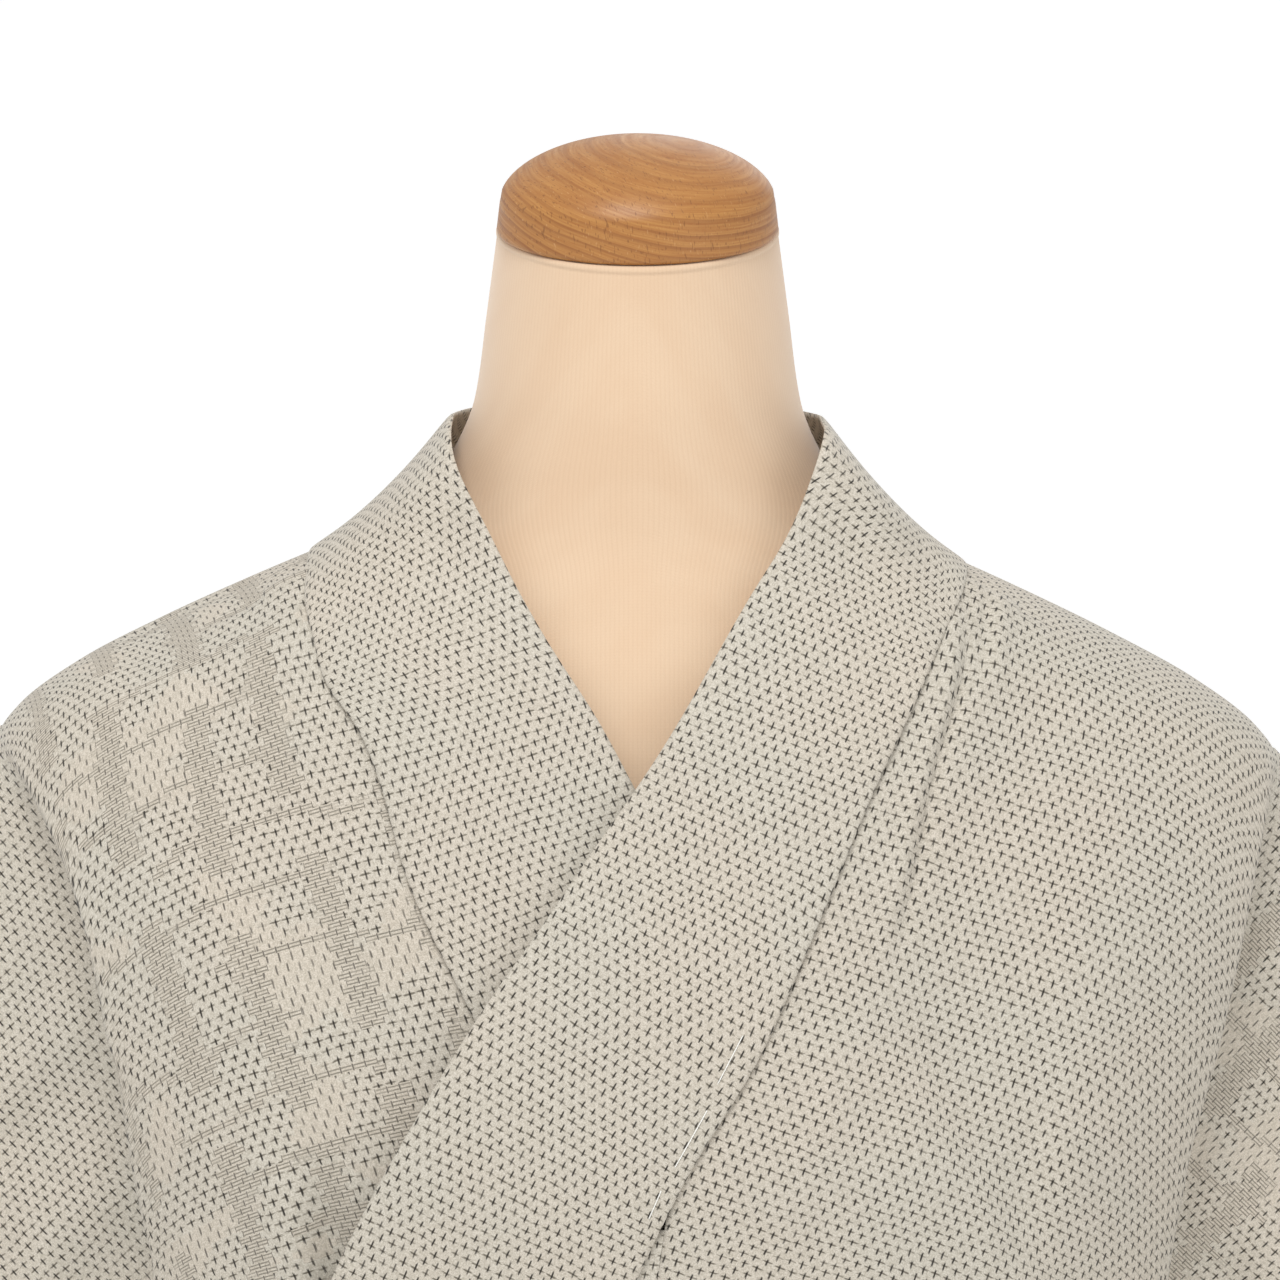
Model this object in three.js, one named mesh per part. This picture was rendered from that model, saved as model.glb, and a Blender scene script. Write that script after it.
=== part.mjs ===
// A silk kimono, closed left side over right, on a limbless dress form.
// Millimetres, +Z up, the front towards -Y. The origin is the middle of the base's underside.
import * as THREE from 'three';

// Walls and gaps
const clothThickness = 1.6;
const collarThickness = 2.4;
const seamGap = 0.4;

// Heights
const hemHeight = 24;
const sideSeamTop = 1005;
const sleeveSeamFoot = 1145;
const archFoot = 1400;
const archTop = 1499;
const torsoFoot = 760;
const neckTop = 1601;
const chestFront = 1300;
const waistTurn = 1230;
const collarFoot = 850;

// Where the garment's edges lie, as shares of the way round, from the centre front
const sideSeamShare = 0.2087;
const frontEdgeShare = 0.1767;
const backSeamShare = 0.5;

// How far each layer's middle stands off the form's outline
const innerLift = 1;
const lapLift = 5.4;
const coverLift = 8.8;
const underCollarLift = 4.6;

// Lengths over which the over front comes down to the inner lift, and climbs over the collar
const lapFade = 24;
const lapFadeStart = 10;
const lapFadeLeast = 12;
const coverStart = 30;
const coverEnd = 8;
const liftFadeHeight = 50;

// The shoulder line falls a little towards the wearer's left
const shoulderTilt = 0.0175;
const tiltFoot = 1150;
const tiltFull = 1380;
const tiltFadeStart = 1500;
const tiltFadeEnd = 1590;

// Shoulder fold, along the top of the shoulder
const neckSideX = 104;
const backNeckDepth = 84;
const shoulderEndX = 213;
const sleeveSeamX = 264;
const sleeveSeamTop = 1355;
const sleeveHalfGap = 14;
const sleeveSeamGap = 1.7;
const dropShoulder = 40;

// The outline that the cloth lies on: half width, front and back depth, squareness
const bodySections = [
  { z: 1500, width: 92, front: 62, back: 80, power: 2.0 },
  { z: 1495, width: 104, front: 64, back: 82, power: 2.0 },
  { z: 1485, width: 127, front: 68, back: 88, power: 2.0 },
  { z: 1470, width: 159, front: 75, back: 95, power: 2.0 },
  { z: 1455, width: 187, front: 82, back: 101, power: 2.05 },
  { z: 1440, width: 207, front: 88, back: 105, power: 2.1 },
  { z: 1430, width: 214, front: 92, back: 108, power: 2.1 },
  { z: 1415, width: 217, front: 97, back: 111, power: 2.15 },
  { z: 1400, width: 218, front: 103, back: 114, power: 2.2 },
  { z: 1350, width: 206, front: 117, back: 120, power: 2.35 },
  { z: 1300, width: 193, front: 125, back: 120, power: 2.4 },
  { z: 1253, width: 184, front: 123, back: 115, power: 2.35 },
  { z: 1200, width: 176, front: 117, back: 109, power: 2.3 },
  { z: 1145, width: 168, front: 110, back: 104, power: 2.25 },
  { z: 1040, width: 160, front: 103, back: 100, power: 2.2 },
  { z: 980, width: 164, front: 108, back: 108, power: 2.15 },
  { z: 900, width: 174, front: 118, back: 122, power: 2.1 },
  { z: 820, width: 183, front: 128, back: 132, power: 2.1 },
  { z: 700, width: 187, front: 134, back: 136, power: 2.1 },
  { z: 20, width: 190, front: 138, back: 140, power: 2.1 },
];

// The dress form, flat at the armholes and a little slimmer than the cloth round it
const formSections = [
  { z: 760, width: 176, front: 120, back: 122, power: 2.1 },
  { z: 820, width: 173, front: 118, back: 121, power: 2.1 },
  { z: 900, width: 164, front: 109, back: 112, power: 2.1 },
  { z: 980, width: 152, front: 100, back: 99, power: 2.15 },
  { z: 1040, width: 146, front: 97, back: 94, power: 2.2 },
  { z: 1095, width: 146, front: 100, back: 96, power: 2.2 },
  { z: 1145, width: 147, front: 104, back: 98, power: 2.25 },
  { z: 1200, width: 148, front: 111, back: 103, power: 2.3 },
  { z: 1253, width: 151, front: 118, back: 109, power: 2.35 },
  { z: 1300, width: 156, front: 120, back: 114, power: 2.4 },
  { z: 1350, width: 165, front: 113, back: 114, power: 2.35 },
  { z: 1380, width: 176, front: 104, back: 110, power: 2.3 },
  { z: 1400, width: 190, front: 99, back: 108, power: 2.2 },
  { z: 1415, width: 204, front: 94, back: 104, power: 2.15 },
  { z: 1430, width: 210, front: 89, back: 101, power: 2.1 },
  { z: 1440, width: 203.5, front: 85, back: 98, power: 2.1 },
  { z: 1450, width: 192, front: 81, back: 96, power: 2.07 },
  { z: 1460, width: 176, front: 77, back: 92, power: 2.04 },
  { z: 1470, width: 157.2, front: 72, back: 88, power: 2.0 },
  { z: 1479, width: 137.4, front: 67, back: 84, power: 2.0 },
  { z: 1487, width: 120.2, front: 64, back: 79, power: 2.0 },
  { z: 1493, width: 106, front: 61, back: 76, power: 2.0 },
];

// The neck of the form, above the shoulders
const neckSections = [
  { z: 1601, width: 46.5, front: 54.5, back: 38.5, power: 2 },
  { z: 1575, width: 50, front: 55, back: 45, power: 2 },
  { z: 1547, width: 55.5, front: 56, back: 54, power: 2 },
  { z: 1525, width: 64, front: 56, back: 62, power: 2 },
  { z: 1510, width: 76, front: 57, back: 70, power: 2 },
];
const neckLean = 8 * Math.PI / 180;
const neckLeanStart = 1500;
const neckTopY = -8;

// Where the front turns under at the armhole, as an x position on each side
const creaseSections = [
  { z: 1440, over: 209, under: 204 },
  { z: 1400, over: 203, under: 184 },
  { z: 1350, over: 193, under: 174 },
  { z: 1300, over: 180, under: 164 },
  { z: 1253, over: 173, under: 158 },
  { z: 1145, over: 160, under: 156 },
  { z: 1080, over: 157, under: 155 },
  { z: 1005, over: 158, under: 158 },
];
const backCreaseShift = 6;

// The armhole's edge: half its gap front to back, then the sideways place of its seam and free edge
const armholeGapSections = [
  { z: 1355, y: 0 },
  { z: 1345, y: 9 },
  { z: 1315, y: sleeveHalfGap },
  { z: 1145, y: sleeveHalfGap },
  { z: 1005, y: 40 },
];
const armholeSections = [
  { z: 1355, x: 264 },
  { z: 1300, x: 260 },
  { z: 1250, x: 254 },
  { z: 1200, x: 247 },
  { z: 1145, x: 240 },
  { z: 1080, x: 214 },
  { z: 1030, x: 188 },
  { z: 1005, x: 176 },
];

// The step back behind the armhole crease: how far along the drop, then the step
const creaseSteps = [
  { along: 0.05, inward: 7, back: 7 },
  { along: 0.1, inward: 4, back: 14 },
  { along: 0.24, inward: 0, back: 13 },
  { along: 0.5, inward: 0, back: 6 },
  { along: 0.76, inward: 0, back: 2 },
  { along: 1, inward: 0, back: 0 },
];

// Front panel edge beside the collar on the shoulder, by distance in front of the fold
const neckEdgeSections = [
  { y: 0, over: 104, under: 105 },
  { y: 25, over: 102, under: 104 },
  { y: 46, over: 99, under: 102 },
  { y: 58, over: 94, under: 98 },
  { y: 72, over: 87, under: 94 },
  { y: 86, over: 77, under: 80 },
  { y: 103, over: 61, under: 67 },
  { y: 120, over: 44, under: 56 },
];

// The seam between front and overlap panel, or the collar's edge above it
const overlapSeamSections = [
  { z: 1400, over: 56, under: 67 },
  { z: 1381, over: 48, under: 57 },
  { z: 1363, over: 39, under: 48 },
  { z: 1342, over: 29, under: 38 },
  { z: 1319, over: 15, under: 26 },
  { z: 1297, over: 9, under: 14 },
  { z: 1275, over: 6, under: 6 },
  { z: 1200, over: -8, under: -8 },
  { z: 1105, over: -20, under: -20 },
  { z: 1000, over: -26, under: -26 },
  { z: 850, over: -30, under: -30 },
  { z: 20, over: -32, under: -32 },
];
const overlapPanelTop = 1270;

// Outer edge of the overlap panel, which runs beneath the collar, as a length round the front
const overlapEdgeSections = [
  { z: 1262, x: -9 },
  { z: 1205, x: -39 },
  { z: 1155, x: -53 },
  { z: 1105, x: -67 },
  { z: 1055, x: -79 },
  { z: 1000, x: -90 },
  { z: 950, x: -98 },
  { z: 900, x: -125 },
  { z: 860, x: -164 },
];

// The collar round the neck, from the centre back to the shoulder: seam, top edge, then its sag
const collarNeckRows = [
  { x: 0, y: 91, z: 1484, topX: 0, topY: 96, topZ: 1535, sag: 0 },
  { x: 24, y: 90, z: 1485, topX: 18, topY: 93, topZ: 1536, sag: 0 },
  { x: 50, y: 82, z: 1489, topX: 36, topY: 82, topZ: 1538, sag: 1 },
  { x: 76, y: 65, z: 1495, topX: 50, topY: 62, topZ: 1540, sag: 2.5 },
  { x: 98, y: 38, z: 1499, topX: 59, topY: 36, topZ: 1540.5, sag: 3.5 },
  { x: 107, y: 10, z: 1497.4, topX: 61, topY: 8, topZ: 1541.5, sag: 4 },
  { x: 108.5, y: -18, z: 1496.4, topX: 61.5, topY: -14, topZ: 1541, sag: 4 },
];

// The collar down the fronts: seam and inner edge, with the layer's lift off the body
const collarOverRows = [
  { x: 106.5, z: 1488, topX: 60, topZ: 1535, lift: 5 },
  { x: 101.5, z: 1479, topX: 52, topZ: 1514, lift: 5 },
  { x: 95, z: 1466, topX: 40, topZ: 1494, lift: 5.5 },
  { x: 85, z: 1446, topX: 27, topZ: 1473, lift: 6 },
  { x: 76, z: 1428, topX: 14.5, topZ: 1452, lift: 7.5 },
  { x: 63.5, z: 1400, topX: 0, topZ: 1430, lift: 10 },
  { x: 50.5, z: 1371, topX: -17, topZ: 1406, lift: 12 },
  { x: 36.5, z: 1342, topX: -33, topZ: 1383, lift: 13 },
  { x: 22, z: 1319, topX: -48, topZ: 1362, lift: 12.8 },
  { x: 7, z: 1291, topX: -68, topZ: 1330, lift: 12.8 },
  { x: -12, z: 1250, topX: -92, topZ: 1286, lift: 12.4 },
  { x: -32, z: 1205, topX: -110, topZ: 1240, lift: 11 },
  { x: -46, z: 1155, topX: -122, topZ: 1187, lift: 10 },
  { x: -60, z: 1105, topX: -134, topZ: 1129, lift: 9.4 },
  { x: -72, z: 1055, topX: -142, topZ: 1074, lift: 9.6 },
  { x: -77.5, z: 1028, topX: -145, topZ: 1044, lift: 9.6 },
  { x: -83, z: 1000, topX: -146, topZ: 1014, lift: 9.6 },
  { x: -98, z: 920, topX: -155, topZ: 928, lift: 9.6 },
  { x: -103, z: 885, topX: -159, topZ: 890, lift: 9.6 },
  { x: -108, z: 850, topX: -163, topZ: 852, lift: 9.6 },
];
const collarUnderRows = [
  { x: 109, z: 1482.5, topX: 59.5, topZ: 1529, lift: 5 },
  { x: 106, z: 1472.5, topX: 50, topZ: 1510, lift: 5 },
  { x: 101, z: 1458, topX: 38, topZ: 1488, lift: underCollarLift },
  { x: 91.5, z: 1446, topX: 26, topZ: 1469, lift: underCollarLift },
  { x: 82, z: 1424, topX: 13, topZ: 1450, lift: underCollarLift },
  { x: 74, z: 1398, topX: 0, topZ: 1427, lift: underCollarLift },
  { x: 59, z: 1368, topX: -15, topZ: 1402, lift: underCollarLift },
  { x: 45, z: 1342, topX: -30, topZ: 1378, lift: underCollarLift },
  { x: 31, z: 1319, topX: -45, topZ: 1356, lift: 4.3 },
  { x: 13, z: 1291, topX: -65, topZ: 1328, lift: 4.4 },
  ...collarOverRows.filter((row) => row.z < 1260).map((row) => ({ ...row, lift: underCollarLift })),
];

// The sleeve: its top fold outwards, its inner edge and its cuff edge downwards
const sleeveTopFold = [
  { at: 0, x: 0, z: 0 },
  { at: 0.2, x: 44, z: -49 },
  { at: 0.4, x: 83, z: -102 },
  { at: 0.6, x: 118, z: -158 },
  { at: 0.8, x: 150, z: -216 },
  { at: 1, x: 180, z: -275 },
];
const sleeveInnerEdge = [
  { at: 0, x: 0, z: 0 },
  { at: 0.12, x: -3.5, z: -52 },
  { at: 0.24, x: -10, z: -105 },
  { at: 0.47, x: -24, z: -210 },
  { at: 0.7, x: -32, z: -330 },
  { at: 1, x: -38, z: -475 },
];
const sleeveCuffEdge = [
  { at: 0, x: 0, z: 0 },
  { at: 0.47, x: -4, z: -230 },
  { at: 1, x: -18, z: -480 },
];
const sleeveDown = [0.03, 0.09, 0.17, 0.26, 0.36, 0.47, 0.57, 0.67, 0.77, 0.87, 0.95];
const cuffOpeningShare = 0.47;
const cuffHalfGap = 1.6;
const cuffFade = 0.08;
const sleeveEndShare = 0.8;
const sleeveFootGap = 0.3;
const sleeveFoldOpens = 0.08;
const sleeveWave = 74;
const sleeveWaveDepth = 12;
const sleeveWaveAlong = 0.35;
const sleeveWaveTop = 0.02;
const sleeveWaveFull = 0.4;
const sleeveCornerLift = 42;
const sleeveCornerTuck = 16;
const sleeveCornerAlong = 0.7;
const sleeveCornerDown = 0.75;

// Soft upright folds of the skirt: place round the hem, half width, depth and top
const skirtFolds = [
  { share: -0.43, reach: 0.035, depth: 9, top: 1000 },
  { share: -0.33, reach: 0.03, depth: -6, top: 900 },
  { share: -0.25, reach: 0.035, depth: 8, top: 1050 },
  { share: -0.13, reach: 0.04, depth: -5, top: 850 },
  { share: -0.02, reach: 0.05, depth: 6, top: 800 },
  { share: 0.12, reach: 0.04, depth: -5, top: 1000 },
  { share: 0.22, reach: 0.035, depth: 8, top: 950 },
  { share: 0.31, reach: 0.03, depth: -6, top: 1000 },
  { share: 0.4, reach: 0.035, depth: 8, top: 900 },
];

// The under front's collar, by length round the front towards its free edge
const underCollarReach = [
  { z: 1420, seam: -78, edge: 6 },
  { z: 1342, seam: -42, edge: 66 },
  { z: 1286, seam: -10, edge: 101 },
  { z: 1205, seam: 30, edge: 121 },
  { z: 1105, seam: 58, edge: 139 },
  { z: 1000, seam: 81, edge: 150 },
  { z: 850, seam: 106, edge: 168 },
];

// The shoulder's top fold beyond the form, down to the sleeve seam
const shoulderFold = [
  { x: 213, z: 1434 },
  { x: 225, z: 1421 },
  { x: 238, z: 1403 },
  { x: 250, z: 1382 },
  { x: 264, z: 1355 },
];

// Where the collar leaves the chest and climbs the neck, and its lean there
const collarRise = 1480;
const collarClear = 1500;
const collarRiseLean = 0.35;
const collarReachMost = 0.97;

// Stand
const poleRadius = 15;
const poleEdge = 0.5;
const baseRadius = 175;
const baseThickness = 14;
const baseEdge = 3;
const seatGap = 0.3;
const capRadius = 46.5;
const capBulge = 0.6;
const capEdge = 0.8;
const capShoulder = 1.2;
const capBandHeight = 17;
const capDomeHeight = 15;

// Counts of rows and columns
const arcSteps = 180;
const panelColumns = 11;
const overlapColumns = 7;
const archRows = 5;
const armholeRows = 12;
const skirtRows = 14;
const collarColumns = 4;
const sleeveColumns = 14;
const formColumns = 32;
const capColumns = 36;
const capDomeRows = 6;
const discColumns = 40;

// Colours
const silkColour = 0xd6ceb9;
const knitColour = 0xf3d6b2;
const woodColour = 0xbe854b;
const steelColour = 0xc9c6c0;

// Value of one column of a table, straight between rows sorted by a falling or rising key
function lookUp(table, key, column, value) {
  const rising = table[0][key] < table[table.length - 1][key];
  const sign = rising ? 1 : -1;
  if (sign * value <= sign * table[0][key]) return table[0][column];
  for (let i = 1; i < table.length; i++) {
    const before = table[i - 1];
    const after = table[i];
    if (sign * value <= sign * after[key]) {
      const share = (value - before[key]) / (after[key] - before[key]);
      return before[column] + (after[column] - before[column]) * share;
    }
  }
  return table[table.length - 1][column];
}

function mix(a, b, share) {
  return a + (b - a) * share;
}

function smoothStep(from, to, value) {
  const share = Math.min(Math.max((value - from) / (to - from), 0), 1);
  return share * share * (3 - 2 * share);
}

// Outline at a height, grown by a lift. Above the shoulders' fold the lift also raises it
function outlineAt(z, lift) {
  const level = z - lift * smoothStep(archFoot, archFoot + liftFadeHeight, z);
  return {
    width: lookUp(bodySections, 'z', 'width', level) + lift,
    front: lookUp(bodySections, 'z', 'front', level) + lift,
    back: lookUp(bodySections, 'z', 'back', level) + lift,
    power: lookUp(bodySections, 'z', 'power', level),
  };
}

function pointOnOutline(outline, angle) {
  const sine = Math.sin(angle);
  const cosine = Math.cos(angle);
  const exponent = 2 / outline.power;
  const depth = cosine > 0 ? outline.front : outline.back;
  return {
    x: outline.width * Math.sign(sine) * Math.abs(sine) ** exponent,
    y: -depth * Math.sign(cosine) * Math.abs(cosine) ** exponent,
  };
}

// Lengths round half of each outline, kept by height, so that a share becomes an angle
const arcTables = new Map();
function arcTable(z) {
  const key = Math.round(z * 4);
  if (!arcTables.has(key)) {
    const outline = outlineAt(key / 4, 0);
    const lengths = [0];
    let last = pointOnOutline(outline, 0);
    for (let i = 1; i <= arcSteps; i++) {
      const next = pointOnOutline(outline, Math.PI * i / arcSteps);
      lengths.push(lengths[i - 1] + Math.hypot(next.x - last.x, next.y - last.y));
      last = next;
    }
    arcTables.set(key, lengths);
  }
  return arcTables.get(key);
}

function perimeterAt(z) {
  return 2 * arcTable(z)[arcSteps];
}

function angleOfShare(share, z) {
  const lengths = arcTable(z);
  const target = Math.min(Math.abs(share) * 2, 1) * lengths[arcSteps];
  let i = 1;
  while (i < arcSteps && lengths[i] < target) i++;
  const part = (target - lengths[i - 1]) / (lengths[i] - lengths[i - 1]);
  return Math.sign(share) * Math.PI * (i - 1 + part) / arcSteps;
}

function shareOfAngle(angle, z) {
  const lengths = arcTable(z);
  const place = Math.abs(angle) / Math.PI * arcSteps;
  const i = Math.min(Math.floor(place), arcSteps - 1);
  const length = mix(lengths[i], lengths[i + 1], place - i);
  return Math.sign(angle) * length / lengths[arcSteps] / 2;
}

// Share round the front, or the back, of the point with a given x
function shareOfX(x, z, onBack) {
  const outline = outlineAt(z, 0);
  const sine = Math.min(Math.abs(x) / outline.width, 1) ** (outline.power / 2);
  const angle = Math.asin(sine);
  return Math.sign(x || 1) * shareOfAngle(onBack ? Math.PI - angle : angle, z);
}

function skirtFoldAt(share, z) {
  let depth = 0;
  for (const fold of skirtFolds) {
    const distance = (share - fold.share) / fold.reach;
    depth += fold.depth * Math.exp(-distance * distance) * smoothStep(fold.top, hemHeight, z);
  }
  return depth;
}

function clothPoint(share, z, lift) {
  const outline = outlineAt(z, lift + skirtFoldAt(share, z));
  const { x, y } = pointOnOutline(outline, angleOfShare(share, z));
  return new THREE.Vector3(x, y, z);
}

// Height of the shoulders' outline above a place in plan
function heightAbove(x, y) {
  let low = archFoot;
  let high = archTop;
  for (let i = 0; i < 40; i++) {
    const middle = (low + high) / 2;
    const outline = outlineAt(middle, 0);
    const depth = y < 0 ? outline.front : outline.back;
    const reach = (Math.abs(x) / outline.width) ** outline.power
      + (Math.abs(y) / depth) ** outline.power;
    if (reach < 1) low = middle;
    else high = middle;
  }
  return low;
}

// Lift of the over front: clear of the under front and of its collar where they lie beneath
function overLift(share, z) {
  const perimeter = perimeterAt(z);
  const length = share * perimeter;
  const seam = lookUp(underCollarReach, 'z', 'seam', z);
  const edge = lookUp(underCollarReach, 'z', 'edge', z);
  const reach = z > collarFoot ? edge : frontEdgeShare * perimeter;
  const fadeEnd = Math.min(reach + lapFadeStart + lapFade, sideSeamShare * perimeter - 1);
  const fadeStart = Math.min(reach + lapFadeStart, fadeEnd - lapFadeLeast);
  const fade = 1 - smoothStep(fadeStart, fadeEnd, length);
  const overCollar = z > collarFoot - coverEnd * 2;
  const cover = overCollar ? smoothStep(seam - coverStart, seam - coverEnd, length) : 0;
  return innerLift + fade * mix(lapLift - innerLift, coverLift - innerLift, cover);
}

// Height of the drop's outer column beside a row of the body
function dropHeight(z) {
  if (z <= sleeveSeamFoot) return z;
  const top = sleeveSeamTop - dropShoulder;
  return mix(sleeveSeamFoot, top, (z - sleeveSeamFoot) / (archFoot - sleeveSeamFoot));
}

function armholeEdge(z, side, onBack) {
  const x = lookUp(armholeSections, 'z', 'x', z);
  const gap = lookUp(armholeGapSections, 'z', 'y', z);
  return new THREE.Vector3(side * x, onBack ? gap : -gap, z);
}

// One row of a body panel below the shoulder, from its inner edge to the armhole or side seam
function bodyRow(z, side, layer, onBack) {
  const creaseX = lookUp(creaseSections, 'z', layer, z) - (onBack ? backCreaseShift : 0);
  const turnShare = shareOfX(creaseX, Math.max(z, sideSeamTop), onBack);
  const perimeter = perimeterAt(z);
  const innerX = lookUp(overlapSeamSections, 'z', layer, z);
  const backEdge = backSeamShare - seamGap / 2 / perimeter;
  const besideCollar = z > overlapPanelTop + liftFadeHeight / 2;
  const frontEdge = besideCollar ? shareOfX(innerX, z, false) : (innerX + seamGap / 2) / perimeter;
  const innerShare = onBack ? backEdge : frontEdge;
  const sideShare = sideSeamShare + (onBack ? 1 : -1) * seamGap / 2 / perimeter;
  const dropShare = smoothStep(sideSeamTop, waistTurn, z);
  const edge = armholeEdge(dropHeight(z), side, onBack);
  const liftAt = (share) => (layer === 'over' && !onBack ? overLift(share, z) : innerLift);
  const row = [];
  for (let i = 0; i <= panelColumns; i++) {
    const share = mix(innerShare, turnShare, i / panelColumns);
    row.push(clothPoint(side * share, z, liftAt(share)));
  }
  const crease = row[panelColumns];
  for (const step of creaseSteps) {
    const share = mix(turnShare, sideShare, step.along);
    const draped = crease.clone().lerp(edge, step.along);
    draped.x -= side * step.inward;
    draped.y += (onBack ? -1 : 1) * step.back;
    row.push(clothPoint(side * share, z, liftAt(share)).lerp(draped, dropShare));
  }
  return row;
}

// One row over the shoulder; share 0 is the fold, 1 the first row below
function archRow(share, side, layer, onBack) {
  const foot = bodyRow(archFoot, side, layer, onBack);
  const facing = onBack ? 1 : -1;
  const innerFootX = Math.abs(foot[0].x);
  const turnFootX = Math.abs(foot[panelColumns].x);
  return foot.map((end, i) => {
    const y = Math.abs(end.y) * share;
    const footX = Math.abs(end.x);
    if (i > panelColumns) {
      const along = (i - panelColumns) / creaseSteps.length;
      const foldX = mix(shoulderEndX, sleeveSeamX, along);
      const foldZ = lookUp(shoulderFold, 'x', 'z', foldX);
      const x = mix(foldX, footX, share ** 2);
      return new THREE.Vector3(side * x, facing * y, foldZ - (foldZ - end.z) * share ** 2);
    }
    const neckShare = Math.min(y / backNeckDepth, 1);
    const backInner = Math.max(neckSideX * Math.sqrt(1 - neckShare ** 2), seamGap / 2);
    const innerX = onBack ? backInner : lookUp(neckEdgeSections, 'y', layer, y);
    const outerX = mix(shoulderEndX, turnFootX, share ** 2);
    const footAcross = (footX - innerFootX) / (turnFootX - innerFootX);
    const x = mix(innerX, outerX, mix(i / panelColumns, footAcross, share));
    return new THREE.Vector3(side * x, facing * y, heightAbove(x, facing * y) + innerLift);
  });
}

// Heights of the rows below the shoulder, which neighbouring panels share
function panelHeights() {
  const heights = [];
  for (let i = 1; i <= armholeRows; i++) {
    heights.push(mix(archFoot, sideSeamTop, i / armholeRows));
  }
  for (let i = 1; i <= skirtRows; i++) {
    heights.push(mix(sideSeamTop, hemHeight, i / skirtRows));
  }
  return heights;
}

// The body panel in one strip: front hem, over the shoulder, back hem
function bodyPanelGrid(side, layer) {
  const heights = panelHeights();
  const front = heights.map((z) => bodyRow(z, side, layer, false)).reverse();
  const frontArch = [];
  for (let i = archRows; i > 0; i--) {
    frontArch.push(archRow(i / archRows, side, layer, false));
  }
  const backArch = [];
  for (let i = 0; i <= archRows; i++) {
    backArch.push(archRow(i / archRows, side, layer, true));
  }
  const back = heights.map((z) => bodyRow(z, side, layer, true));
  return [...front, ...frontArch, ...backArch, ...back];
}

// The overlap panel beside the front, from its point under the collar to the hem
function overlapPanelGrid(side, layer) {
  const grid = [];
  for (const z of panelHeights().filter((height) => height < overlapPanelTop)) {
    const perimeter = perimeterAt(z);
    const seam = (lookUp(overlapSeamSections, 'z', layer, z) - seamGap / 2) / perimeter;
    const edgeX = lookUp(overlapEdgeSections, 'z', 'x', z);
    const edge = z > collarFoot + 10 ? edgeX / perimeter : -frontEdgeShare;
    const row = [];
    for (let i = 0; i <= overlapColumns; i++) {
      const share = mix(seam, edge, i / overlapColumns);
      const lift = layer === 'over' ? overLift(share, z) : innerLift;
      row.push(clothPoint(side * share, z, lift));
    }
    grid.push(row);
  }
  return grid;
}

// A point of the collar on the body, where x is measured round the front below the chest
function collarPoint(x, z, lift, side) {
  if (z > collarRise) {
    const outline = outlineAt(Math.min(z, collarClear), lift);
    const reach = Math.min(Math.abs(x) / outline.width, collarReachMost);
    const depth = outline.front - Math.max(z - collarClear, 0) * collarRiseLean;
    return new THREE.Vector3(side * x, -depth * Math.sqrt(1 - reach ** 2), z);
  }
  const share = z > chestFront ? shareOfX(x, z, false) : x / perimeterAt(z);
  return clothPoint(side * share, z, lift);
}

function collarRow(row, side) {
  const points = [];
  for (let i = 0; i <= collarColumns; i++) {
    const share = i / collarColumns;
    const x = mix(row.x, row.topX, share);
    const z = mix(row.z, row.topZ, share);
    if (row.y === undefined) {
      points.push(collarPoint(x, z, row.lift, side));
    } else {
      const drop = row.sag * 4 * share * (1 - share);
      points.push(new THREE.Vector3(side * x, mix(row.y, row.topY, share), z - drop));
    }
  }
  return points;
}

function collarGrid() {
  const over = [...collarOverRows].reverse().map((row) => collarRow(row, 1));
  const neckOver = [...collarNeckRows].reverse().map((row) => collarRow(row, 1));
  const neckUnder = collarNeckRows.slice(1).map((row) => collarRow(row, -1));
  const under = collarUnderRows.map((row) => collarRow(row, -1));
  return [...over, ...neckOver, ...neckUnder, ...under];
}

// A place on the sleeve's middle sheet, by shares outwards along the fold and down from it
function sleevePlace(along, down) {
  const corner = smoothStep(sleeveCornerAlong, 1, along) * smoothStep(sleeveCornerDown, 1, down);
  const foldX = sleeveSeamX + sleeveSeamGap + lookUp(sleeveTopFold, 'at', 'x', along);
  const foldZ = sleeveSeamTop + lookUp(sleeveTopFold, 'at', 'z', along);
  const innerX = lookUp(sleeveInnerEdge, 'at', 'x', down);
  const innerZ = lookUp(sleeveInnerEdge, 'at', 'z', down);
  const cuffX = lookUp(sleeveCuffEdge, 'at', 'x', down);
  const cuffZ = lookUp(sleeveCuffEdge, 'at', 'z', down);
  const x = foldX + mix(innerX, cuffX, along) - sleeveCornerTuck * corner;
  const z = foldZ + mix(innerZ, cuffZ, along) + sleeveCornerLift * corner;
  const fade = smoothStep(0, sleeveWaveAlong, along) * smoothStep(sleeveWaveTop, sleeveWaveFull, down);
  const wave = Math.sin(2 * Math.PI * (x - sleeveSeamX) / sleeveWave);
  return { x, z, middle: sleeveWaveDepth * fade * wave };
}

// Half the gap between the sleeve's two walls, which are sewn together below the cuff opening
function sleeveGapAt(along, down) {
  const open = sleeveHalfGap * Math.min(1, Math.sqrt(down / sleeveFoldOpens));
  const sewn = smoothStep(cuffOpeningShare, cuffOpeningShare + cuffFade, down);
  const closing = smoothStep(sleeveEndShare, 1, along) * sewn;
  const foot = mix(1, sleeveFootGap, smoothStep(sleeveEndShare, 1, down));
  return mix(open * foot, cuffHalfGap, closing);
}

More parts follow.
